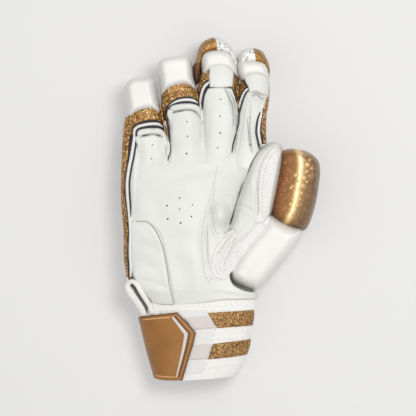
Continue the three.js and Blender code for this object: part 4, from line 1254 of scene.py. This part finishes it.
WEB_BLEND = 0.0012
WEB_FOLDS = [
    ((236, 230), (219, 242), (211.6, 268), 1.5, 0.6),
    ((244, 228), (226, 246), (216.4, 274), 1.5, 0.6),
    ((249, 231), (233, 249), (222.6, 276), 1.5, 0.6),
    ((240, 228.6), (222.6, 244), (214, 271), 1.5, -0.8),
    ((247, 229), (229.6, 248), (219.6, 275), 1.5, -0.8),
    ((252, 232), (237, 250), (226.4, 275), 1.5, -0.6),
]


def web_height(columns, rows):
    layers = np.stack([palm_height(columns, rows) + 0.0002, thumb_height(columns, rows) - 0.0004,
                       roll_surface(columns, rows) - 0.0002])
    peak = layers.max(axis=0)
    ribs = relief(WEB_FOLDS, columns, rows) * 1e-3
    return peak + WEB_BLEND * np.log(np.exp((layers - peak) / WEB_BLEND).sum(axis=0)) + ribs


sewn_sheet("thumb_web_net", WEB_OUTLINE, web_height, WHITE_NET, "white_mesh", "thumb_mesh_web",
           "laid", ["palm_sheet", "thumb_roll_pad"], thick=0.001, step=1.2, crown=0.0003,
           crown_width=3.0)
NET_THREAD = plain_material("net_thread", (0.56, 0.48, 0.46), roughness=0.75)
WEB_SEAMS = [
    [(236, 231), (227, 235.4), (219.6, 242), (214.4, 251), (211.8, 262), (212.4, 271), (216.4, 277),
     (223, 278.6)],
    [(241, 230), (231, 236), (223.6, 244.4), (218.4, 254), (215.6, 264), (216.6, 271.4),
     (221, 275.4)],
    [(246, 229.6), (237, 236), (229, 245), (223, 255), (219.6, 265), (220.6, 271.6)],
    [(250.4, 230.6), (241.6, 237.6), (234, 246.4), (228, 256), (224.4, 266), (224.6, 272)],
    [(258.6, 212), (258.4, 200), (258.4, 186), (260, 172), (264, 160.6), (269.6, 152.4),
     (275.4, 147.4)],
    [(262, 214), (261.8, 200), (262, 186), (263.6, 174), (267, 163), (272, 154.6), (277.6, 149.4)],
]


def netting_height(columns, rows):
    return np.where(rows > 220, web_height(columns, rows), strip_height(columns, rows))


web_seam = stitches("thumb_net_stitching", WEB_SEAMS, netting_height, pitch=0.0026, share=0.5,
                    radius=0.00022, lift=0.0002)
dress(web_seam, NET_THREAD)


# Thumb cap: a stiff moulded guard under gold foil, creased along its middle.
CAP_OUTLINE = [
    (280.4, 152.6), (284, 149.4), (292, 147.8), (300, 148.4), (308, 150.8), (314.5, 154.6),
    (319.4, 160), (321.2, 166), (321.4, 175), (320.2, 185), (318.8, 195), (316.2, 207),
    (313.2, 217), (310, 225), (307, 229.8), (303, 231.4), (297, 230.2), (290, 228), (283, 224.8),
    (277, 221.2), (273, 217.8), (270.6, 212), (270.6, 205), (272, 195), (274, 183), (276.8, 172),
    (278.8, 162),
]
CAP_RIDGE = [
    (296, 146), (299.5, 156), (300, 166), (299, 178), (296.6, 190), (294.4, 202), (291.4, 212),
    (286.4, 221), (282, 228),
]
CAP_TOP = 0.0515
CAP_LOW = 0.0045
CAP_ROUND = 8.5
CAP_STEP = 1.3
FOIL_REACH = 52


def from_ridge(columns, rows):
    """How far to the right of the cap's crease a place is, in pixels."""
    ridge = np.array(CAP_RIDGE)
    return columns - np.interp(rows, ridge[:, 1], ridge[:, 0])


def cap_crease(columns, rows):
    beside = from_ridge(columns, rows)
    slope = np.where(beside < 0, 0.14, 0.2)
    soft = np.sqrt(beside ** 2 + 2.0) - math.sqrt(2.0)
    return -slope * soft * 1e-3


# Gold foil over hide: mottled, with small bright specks. Its tones across the cap are painted
# light: a painted highlight in a bright band along the crease, and painted shade that darkens
# it towards both edges. The attribute beside is 0.5 at the crease.
FOIL_HIGHLIGHT_AND_SHADE = [
    (0.0, (0.2, 0.06, 0.015)), (0.1, (0.3, 0.105, 0.03)), (0.3, (0.27, 0.105, 0.032)),
    (0.42, (0.34, 0.165, 0.05)), (0.455, (0.62, 0.4, 0.15)), (0.5, (0.86, 0.66, 0.34)),
    (0.55, (0.74, 0.52, 0.24)), (0.6, (0.38, 0.22, 0.085)), (0.7, (0.25, 0.14, 0.065)),
    (0.9, (0.2, 0.115, 0.06)), (1.0, (0.15, 0.07, 0.035)),
]
FOIL = new_material("gold_foil", {"Metallic": 0.35, "Roughness": 0.3}, {
    "at": ("TexCoord", {}),
    "side": ("Attribute", {"attribute_name": "beside"}),
    "ramp": ("ValToRGB", {"stops": FOIL_HIGHLIGHT_AND_SHADE}),
    "cloud": ("TexNoise", {"Scale": 260.0, "Detail": 10.0, "Roughness": 0.75}),
    "spread": ("MapRange",
               {"From Min": 0.3, "From Max": 0.7, "To Min": 0.62, "To Max": 1.35}),
    "shade": ("Mix", MULTIPLY),
    "specks": ("TexVoronoi", {"Scale": 700.0}),
    "tints": ("SeparateColor", {}),
    "amount": ("MapRange", {"From Min": 0.8, "From Max": 1.0, "To Max": 0.16}),
    "glow": ("Mix", {"data_type": "RGBA", "B": (1.0, 0.72, 0.36, 1)}),
    "raised": ("Bump", {"Strength": 0.35, "Distance": 0.0004}),
}, ["side.Fac > ramp.Fac", "at.Object > cloud.Vector", "at.Object > specks.Vector",
    "specks.Color > tints.Color", "cloud.Fac > spread.Value", "ramp.Color > shade.A",
    "spread.Result > shade.B", "tints.Red > amount.Value", "amount.Result > glow.Factor",
    "shade.Result > glow.A", "glow.Result > shader.Base Color", "cloud.Fac > raised.Height",
    "raised.Normal > shader.Normal"])
cap = cushion("thumb_cap_foil", CAP_OUTLINE, level(CAP_TOP), level(CAP_LOW), edge=CAP_ROUND,
              step=CAP_STEP, ridge=cap_crease, taper=0.25)
cap_spots = np.array([v.co for v in cap.data.vertices])
cap_columns, cap_rows = pixel_of(cap_spots[:, 0], cap_spots[:, 1])
beside = cap.data.attributes.new("beside", "FLOAT", "POINT")
beside.data.foreach_set("value",
                        np.clip(0.5 + from_ridge(cap_columns, cap_rows) / FOIL_REACH, 0, 1))
dress(cap, FOIL, node="thumb_cap")

# The foil has small round dots pressed into it, close to the crease.
CAP_DOTS = [
    (307, 165, 2.3), (306.4, 171.6, 1.6), (303.6, 178.4, 2.5), (309.4, 160, 1.3), (302.4, 186, 2.4),
    (306.6, 182, 1.3), (295, 175.4, 1.9), (297.6, 181, 1.3), (301, 193, 1.6), (299.4, 199, 1.5),
    (290.6, 188, 1.4), (296.8, 205.6, 1.8), (289.8, 204, 1.4), (293.6, 213, 1.7), (304, 173.4, 1.2),
    (311.6, 168.4, 1.2), (285, 163, 0.8), (292, 186, 1.1), (299, 189, 1.4), (308.6, 176, 0.9),
]
DOT_SIZE = 1.15
DOT_SIDES = 14
cap_line = smooth_line(CAP_OUTLINE, CAP_STEP, True)
cap_middle = (CAP_TOP + CAP_LOW) / 2
dot_vertices, dot_faces = [], []
for dot_column, dot_row, dot_radius in CAP_DOTS:
    dot_faces += capped(3, DOT_SIDES, len(dot_vertices))
    for size, lift in ((1.0, -0.0004), (0.86, 0.0002), (0.5, 0.00035)):
        for k in range(DOT_SIDES):
            angle = 2 * math.pi * k / DOT_SIDES
            reach = size * dot_radius * DOT_SIZE
            column = np.array([dot_column + reach * math.cos(angle)])
            row = np.array([dot_row + reach * math.sin(angle)])
            share = min(1.0, float(away_from(cap_line, column, row)[0]) / CAP_ROUND)
            rise = CAP_TOP - cap_middle + float(cap_crease(column, row)[0])
            x, y = place(float(column[0]), float(row[0]))
            dot_vertices.append((x, y, cap_middle + rise * math.sqrt(1 - (1 - share) ** 2) + lift))
dots = new_piece("thumb_cap_dots", dot_vertices, dot_faces)
face_out(dots)
dress(dots, plain_material("pressed_dots", (0.72, 0.46, 0.2), roughness=0.35, metallic=0.3))


# Thumb roll: the fat padded roll over the thumb's lower half.
THUMB_ROLL_FOLDS = [
    ((272, 222), (262, 232), (250, 247), 3.0, -0.6),
    ((240, 262), (246, 274), (254, 283), 4.0, -0.5),
    ((286, 232), (282, 244), (272, 258), 5.0, 0.5),
    ((296, 236), (290, 246), (284, 254), 3.0, -0.4),
    ((236, 270), (243, 278), (252, 283), 2.0, 0.5),
]


def roll_folds(columns, rows):
    return relief(THUMB_ROLL_FOLDS, columns, rows) * 1e-3


thumb_roll = cushion("thumb_roll_pad", THUMB_ROLL_OUTLINE, level(THUMB_ROLL_TOP),
                     level(THUMB_ROLL_LOW), edge=THUMB_ROLL_EDGE, step=1.5, seed=51, pucker=0.0004,
                     ridge=roll_folds, taper=0.22)
dress(thumb_roll, ROLL_HIDE, node="thumb_roll")


# Cuff: a tube of thick elastic towelling, open at its end, that tucks up under the palm's hide.
CUFF_EDGES = {
    "row": [381, 376, 365, 350, 335, 318, 305, 297],
    "left": [157.6, 156.2, 152.8, 148.6, 144.8, 142, 142.2, 145.4],
    "right": [236, 240.4, 245.6, 248.8, 251.6, 254.6, 256.8, 256.8],
    "top": [44.6, 45.3, 46.6, 47.6, 48.4, 49.2, 49.4, 48.8],
    "low": [8.2, 7.6, 7.4, 7.8, 10.5, 14, 18, 20],
}
CUFF_WALL = 0.0034
CUFF_SLANT = 2.6
CUFF_START = 299
CUFF_LONG = 81
CUFF_SIDES = 96
CUFF_POWER = 2.3
RIB_HEIGHT = 0.0002
RIB_TURN = 1.1
RIB_END = 372


def cuff_edges(rows):
    return [spread(CUFF_EDGES, key, rows) for key in ("left", "right", "top", "low")]


def oval(angle):
    """Where the cuff's section is at an angle: across and up, each from -1 to 1."""
    turns = (math.cos(angle), math.sin(angle))
    return [math.copysign(abs(turn) ** (2 / CUFF_POWER), turn) for turn in turns]


def cuff_ring(row):
    left, right, top, low = cuff_edges(row)
    ring = []
    for k in range(CUFF_SIDES):
        across, up = oval(2 * math.pi * k / CUFF_SIDES)
        slant = CUFF_SLANT * across * (row - CUFF_START) / CUFF_LONG
        x, y = place((left + right) / 2 + across * (right - left) / 2, row - slant)
        rib = RIB_HEIGHT * math.sin(row * RIB_TURN) if row < RIB_END else 0.0
        z = (top + low) / 2000 + up * ((top - low) / 2000 + rib)
        ring.append((x, y, z))
    return ring


CUFF_ROWS = [*np.arange(299.0, 378.0, 1.3), 378.6, 379.6, 380.0]
cuff = new_piece("cuff_band_knit", [spot for row in CUFF_ROWS for spot in cuff_ring(row)],
                 quads(len(CUFF_ROWS), CUFF_SIDES, closed=True))
thicken(cuff, thick=CUFF_WALL, offset=1.0)
face_out(cuff)


def knit_material(name, colour, shadow, size, bump):
    """Towelling: short loops in columns, darker between them."""
    return new_material(name, {"Roughness": 0.9, "Sheen Weight": 0.25}, {
        "at": ("TexCoord", {}),
        "loops": ("TexNoise", {"Scale": 1 / size, "Detail": 3.0}),
        "ramp": ("ValToRGB", {"stops": [(0.3, shadow), (0.6, colour)]}),
        "raised": ("Bump", {"Strength": bump, "Distance": 0.0006}),
    }, ["at.Object > loops.Vector", "loops.Fac > ramp.Fac", "ramp.Color > shader.Base Color",
        "loops.Fac > raised.Height", "raised.Normal > shader.Normal"])


TOWELLING = knit_material("cuff_towelling", colour=(0.87, 0.85, 0.82), shadow=(0.78, 0.76, 0.73),
                          size=0.0016, bump=0.5)
dress(cuff, TOWELLING, node="cuff_band")


def cuff_height(columns, rows):
    left, right, top, low = cuff_edges(rows)
    across = np.clip(np.abs(columns - (left + right) / 2) / ((right - left) / 2), 0, 0.985)
    up = (1 - across ** CUFF_POWER) ** (1 / CUFF_POWER)
    return ((top + low) / 2 + up * (top - low) / 2) * 1e-3


# Two gold stripes woven with metal thread, sewn across the cuff.
STRIPE_CLOTH = glitter_material("gold_stripe_cloth", stops=[
    (0.0, (0.206, 0.092, 0.0246)), (0.35, (0.412, 0.202, 0.0574)),
    (0.7, (0.577, 0.313, 0.0984)), (1.0, (0.762, 0.478, 0.197)),
], knot=0.001, roughness=0.5, metallic=0.3)
STRIPES = {
    "upper": [(207.8, 312.6, 1), (222, 311.8), (240, 310.9), (254.6, 310.4, 1), (254.4, 318),
              (253, 326, 1), (240, 326.6), (228, 327.2), (217.2, 327.8, 1), (212, 319.4)],
    "lower": [(212.8, 343.6, 1), (226, 342.2), (240, 341), (251.4, 340.2, 1), (250.2, 348),
              (247.6, 355.6, 1), (234, 357), (220, 358.2), (208.2, 359.2, 1), (210.4, 351)],
}
stripe_height = lifted(cuff_height, 0.0009)
for which, outline in STRIPES.items():
    sewn_sheet(f"cuff_stripe_{which}_cloth", outline, stripe_height, STRIPE_CLOTH, "gold_stripe",
               f"cuff_stripe_{which}", "laid", ["cuff_band_knit"], thick=0.0008, step=1.1,
               crown=0.0004, crown_width=1.0)


# Loop patch: the soft half of the strap's fastening, beside the stripes.
LOOP_OUTLINE = [
    (160, 309, 1), (186, 308.4), (207, 308.2, 1), (211.6, 317), (216, 329, 1), (214, 336),
    (211, 343, 1), (207.4, 359.6, 1), (205, 368), (203, 374, 1), (180, 375.4), (160, 374, 1),
    (158, 340),
]
loop_height = lifted(cuff_height, 0.0002)
loop = laid_sheet("loop_patch_pile", LOOP_OUTLINE, loop_height, thick=0.0007, step=1.6,
                  crown=0.0003, crown_width=3.0)
LOOP_PILE = knit_material("loop_pile", colour=(0.8, 0.79, 0.77), shadow=(0.7, 0.69, 0.67),
                          size=0.0009, bump=0.4)
dress(loop, LOOP_PILE, node="loop_patch")
cut_from(LOOP_OUTLINE)
LOOP_BANDS = {
    "upper": [(184, 317.6, 1), (196, 316.6), (209.8, 315.4, 1), (212.8, 321), (216, 327.6, 1),
              (204, 328.6), (192, 329.4, 1), (188, 323)],
    "lower": [(190, 345.4, 1), (201, 344.4), (211.6, 343.6, 1), (209.6, 351), (207.2, 358.6, 1),
              (197, 359.4), (187.6, 360, 1), (189, 352)],
}
LOOP_BAND_CLOTH = knit_material("loop_band_pile", colour=(0.73, 0.665, 0.64),
                                shadow=(0.62, 0.55, 0.53), size=0.0009, bump=0.6)
band_height = lifted(cuff_height, 0.0008)
for which, outline in LOOP_BANDS.items():
    sewn_sheet(f"loop_band_{which}", outline, band_height, LOOP_BAND_CLOTH, "loop_cloth", None,
               "laid", ["loop_patch_pile"], thick=0.0006, step=1.2, crown=0.0003, crown_width=2.0)


# Strap: it leaves the cuff under the badge and runs round the little-finger side, from one angle
# of the cuff's section, in degrees, through a turn.
STRAP_FROM = 122
STRAP_TURN = 112


def strap_place(share, row):
    """A place on the strap: share 0 is under the badge, and 1 is low on the little-finger side."""
    left, right, top, low = cuff_edges(row)
    angle = math.radians(STRAP_FROM + STRAP_TURN * share)
    across, up = oval(angle)
    stand_off = 0.0012 + 0.0004 * math.sin(math.pi * share)
    x, y = place((left + right) / 2 + across * (right - left) / 2, row)
    z = (top + low) / 2000 + up * (top - low) / 2000
    return x + stand_off * math.cos(angle), y, z + stand_off * math.sin(angle)


STRAP_ROWS = np.arange(318.5, 371.1, 1.75)
STRAP_STEPS = 34
wrist_strap = new_piece(
    "wrist_strap_hide",
    [strap_place(k / STRAP_STEPS, row) for row in STRAP_ROWS for k in range(STRAP_STEPS + 1)],
    quads(len(STRAP_ROWS), STRAP_STEPS + 1, turned=True))
thicken(wrist_strap, thick=0.0018)
face_out(wrist_strap)
dress(wrist_strap, ROLL_HIDE, node="wrist_strap")


# Badge: the strap's stiff end tab in tan hide, with a raised rim, a pale line and stitches.
BADGE_OUTLINE = [
    (137.6, 317.6, 1), (151, 315.9), (165, 314.2), (177, 312.6, 1), (186, 322), (195.4, 332.4, 1),
    (192.6, 344), (189, 355), (185.6, 367), (181.8, 380, 1), (168, 380.6), (153.4, 380.2, 1),
    (148.4, 363), (143, 342),
]
BADGE_LINES = [([(172.4, 316.4), (179.4, 325), (186.4, 333.8)], (1.8, 3.8)),
               ([(186.4, 332.6), (184, 346), (181.2, 358), (178.4, 369),
                 (176.4, 377.4)], (3.8, 0.9))]
BADGE_RIM = [
    [(142, 320), (152, 318.4), (164, 316.8), (175.4, 315.4)],
    [(177.4, 316.4), (184.6, 323.8), (192, 332.6)],
    [(192.4, 334.8), (190, 344), (186.6, 355), (183.4, 366), (180, 377)],
]
BADGE_STAND_OFF = 0.0029


def badge_height(columns, rows):
    left, right, top, low = cuff_edges(rows)
    left = left - BADGE_STAND_OFF / PIXEL
    across = np.clip(((left + right) / 2 - columns) / ((right - left) / 2), 0, 0.992)
    up = (1 - across ** CUFF_POWER) ** (1 / CUFF_POWER)
    return ((top + low) / 2 + up * (top - low) / 2) * 1e-3 + BADGE_STAND_OFF * up


badge = laid_sheet("strap_badge_hide", BADGE_OUTLINE, badge_height, thick=0.002, step=1.1,
                   crown=0.0008, crown_width=1.4)
BADGE_HIDE = hide_material("badge_hide", dark=(0.29, 0.115, 0.02), light=(0.38, 0.165, 0.032),
                           roughness=0.42, grain_size=0.0009, bump=0.3)
dress(badge, BADGE_HIDE, node="strap_badge")
cut_from(BADGE_OUTLINE)
BADGE_DARK = plain_material("badge_edge", (0.17, 0.07, 0.022), roughness=0.5)
BADGE_THREAD = plain_material("badge_thread", (0.72, 0.42, 0.2), roughness=0.6)
PALE_LINE = plain_material("badge_pale_line", (0.68, 0.62, 0.57), roughness=0.5)


def flat_line(name, points, width, height, lift, material):
    """A flat printed or sewn tape along a path, with its first and last widths in pixels."""
    count = max(8, int(length_of(flow(points, 60)) / 1.2))
    line = flow(points, count)
    ahead = np.gradient(line, axis=0)
    ahead /= np.linalg.norm(ahead, axis=1)[:, None]
    across = np.stack([-ahead[:, 1], ahead[:, 0]], axis=1) * np.linspace(*width, count)[:, None]
    rows = [on_surface(line + across * offset, height, lift) - np.array([0, 0, down * 0.0003])
            for offset, down in ((-0.5, 1), (-0.35, 0), (0, -0.3), (0.35, 0), (0.5, 1))]
    piece = new_piece(name, np.concatenate(rows), quads(len(rows), count))
    thicken(piece, thick=0.0004)
    face_out(piece)
    dress(piece, material)


BADGE_LIFT = 0.0003
for number, (points, widths) in enumerate(BADGE_LINES):
    flat_line(f"badge_pale_line_{number}", points, width=widths, height=badge_height,
              lift=BADGE_LIFT, material=PALE_LINE)
    flat_line(f"badge_dark_line_{number}", [(x + 3.0, y - 0.8) for x, y in points],
              width=(1.1, 1.1), height=badge_height, lift=BADGE_LIFT, material=BADGE_DARK)
flat_line("badge_top_line", [(143, 320), (152, 318.8), (161, 317.8), (170, 317.2)],
          width=(0.7, 0.8), height=badge_height, lift=BADGE_LIFT, material=BADGE_THREAD)
flat_line("badge_foot_line", [(156, 376.6), (163, 377), (170, 377), (175.4, 376.8)],
          width=(0.8, 0.8), height=badge_height, lift=BADGE_LIFT, material=BADGE_THREAD)
badge_seam = stitches("badge_stitching", BADGE_RIM, badge_height, pitch=0.0018, share=0.62,
                      radius=0.00022, lift=0.0002)
dress(badge_seam, BADGE_THREAD)
BADGE_EDGE = [(140.3, 317.8), (152, 316), (165, 314.4), (177, 312.9), (186, 322.2), (195, 332.4),
              (192.4, 344), (188.8, 355), (185.4, 367), (181.6, 379.8)]
for number, (start, stop) in enumerate(((0, 4), (3, 6), (5, 10))):
    bead(f"badge_rim_{number}", BADGE_EDGE[start:stop], radius=0.0008, height=badge_height,
         lift=-0.0008, material=BADGE_DARK, fade=False)


# Vent binding: padded tape up one side of the wrist slit, round its top and down the other. Each
# point is column, row, radius in millimetres and height in millimetres.
BINDING_PATH = [
    (145.4, 316.4, 3.2, 37.4), (141.4, 308, 3.4, 38.8), (136, 300, 3.4, 40.5),
    (130.6, 292.6, 3.2, 42.5), (127.6, 287, 2.5, 43.6), (129, 283, 2.0, 44.6),
    (132.8, 281.4, 1.9, 46.4), (137.4, 285, 2.0, 47.6), (141.8, 292.4, 2.1, 47.6),
    (146.4, 300, 2.0, 46.2), (150, 306.5, 1.8, 44.8), (152, 312.4, 1.6, 44.4),
]
BINDING_POINTS = 100
binding_line = flow(BINDING_PATH, BINDING_POINTS)
binding_x, binding_y = place(binding_line[:, 0], binding_line[:, 1])
binding = tube("slit_binding_tape",
               np.stack([binding_x, binding_y, binding_line[:, 3] * 1e-3], axis=1),
               binding_line[:, 2] * 1e-3, sides=12, flat=0.75)
dress(binding, ROLL_HIDE, node="slit_binding")

# Inside the slit a dark strip stands in for the shade in the gap between the tapes (painted
# shade), and a fold of hide closes the wrist's side below the tape.
VENT_LINE = [(131.6, 286), (136, 292), (141.2, 299), (145.8, 306.4), (149.4, 315)]
VENT_DEPTH = [43.0, 43.5, 42.2, 41.2, 40.6]
VENT_PAINTED_SHADE = plain_material("vent_painted_shade", (0.13, 0.13, 0.1), roughness=0.8)


def vent_height(columns, rows):
    return np.interp(rows, [row for _, row in VENT_LINE], VENT_DEPTH) * 1e-3


flat_line("vent_shade_strip", VENT_LINE, width=(5.0, 3.6), height=vent_height, lift=0.0,
          material=VENT_PAINTED_SHADE)
VENT_TOP = [
    (127.4, 277.5, 44), (128, 283, 43.6), (128.8, 288, 42.4), (131.4, 294, 41), (136, 301, 39.2),
    (140.6, 307.6, 37.6),
]
VENT_FOOT = [(127.8, 275, 24), (132.4, 281, 23.4), (137, 287, 23), (141, 292, 23), (146, 299, 23),
             (150, 304.5, 23)]
VENT_BULGE = 2.6
VENT_STEPS = 9
VENT_POINTS = 26
vent_high = flow(VENT_TOP, VENT_POINTS)
vent_low = flow(VENT_FOOT, VENT_POINTS)
vent_rows = []
for step in range(VENT_STEPS):
    share = step / (VENT_STEPS - 1)
    between = vent_high * (1 - share) + vent_low * share
    x, y = place(between[:, 0] - VENT_BULGE * math.sin(math.pi * share), between[:, 1])
    vent_rows.append(np.stack([x, y, between[:, 2] * 1e-3], axis=1))
vent_side = new_piece("vent_side_hide", np.concatenate(vent_rows),
                      quads(VENT_STEPS, VENT_POINTS, turned=True))
thicken(vent_side, thick=0.0012)
face_out(vent_side)
dress(vent_side, PALM_HIDE)
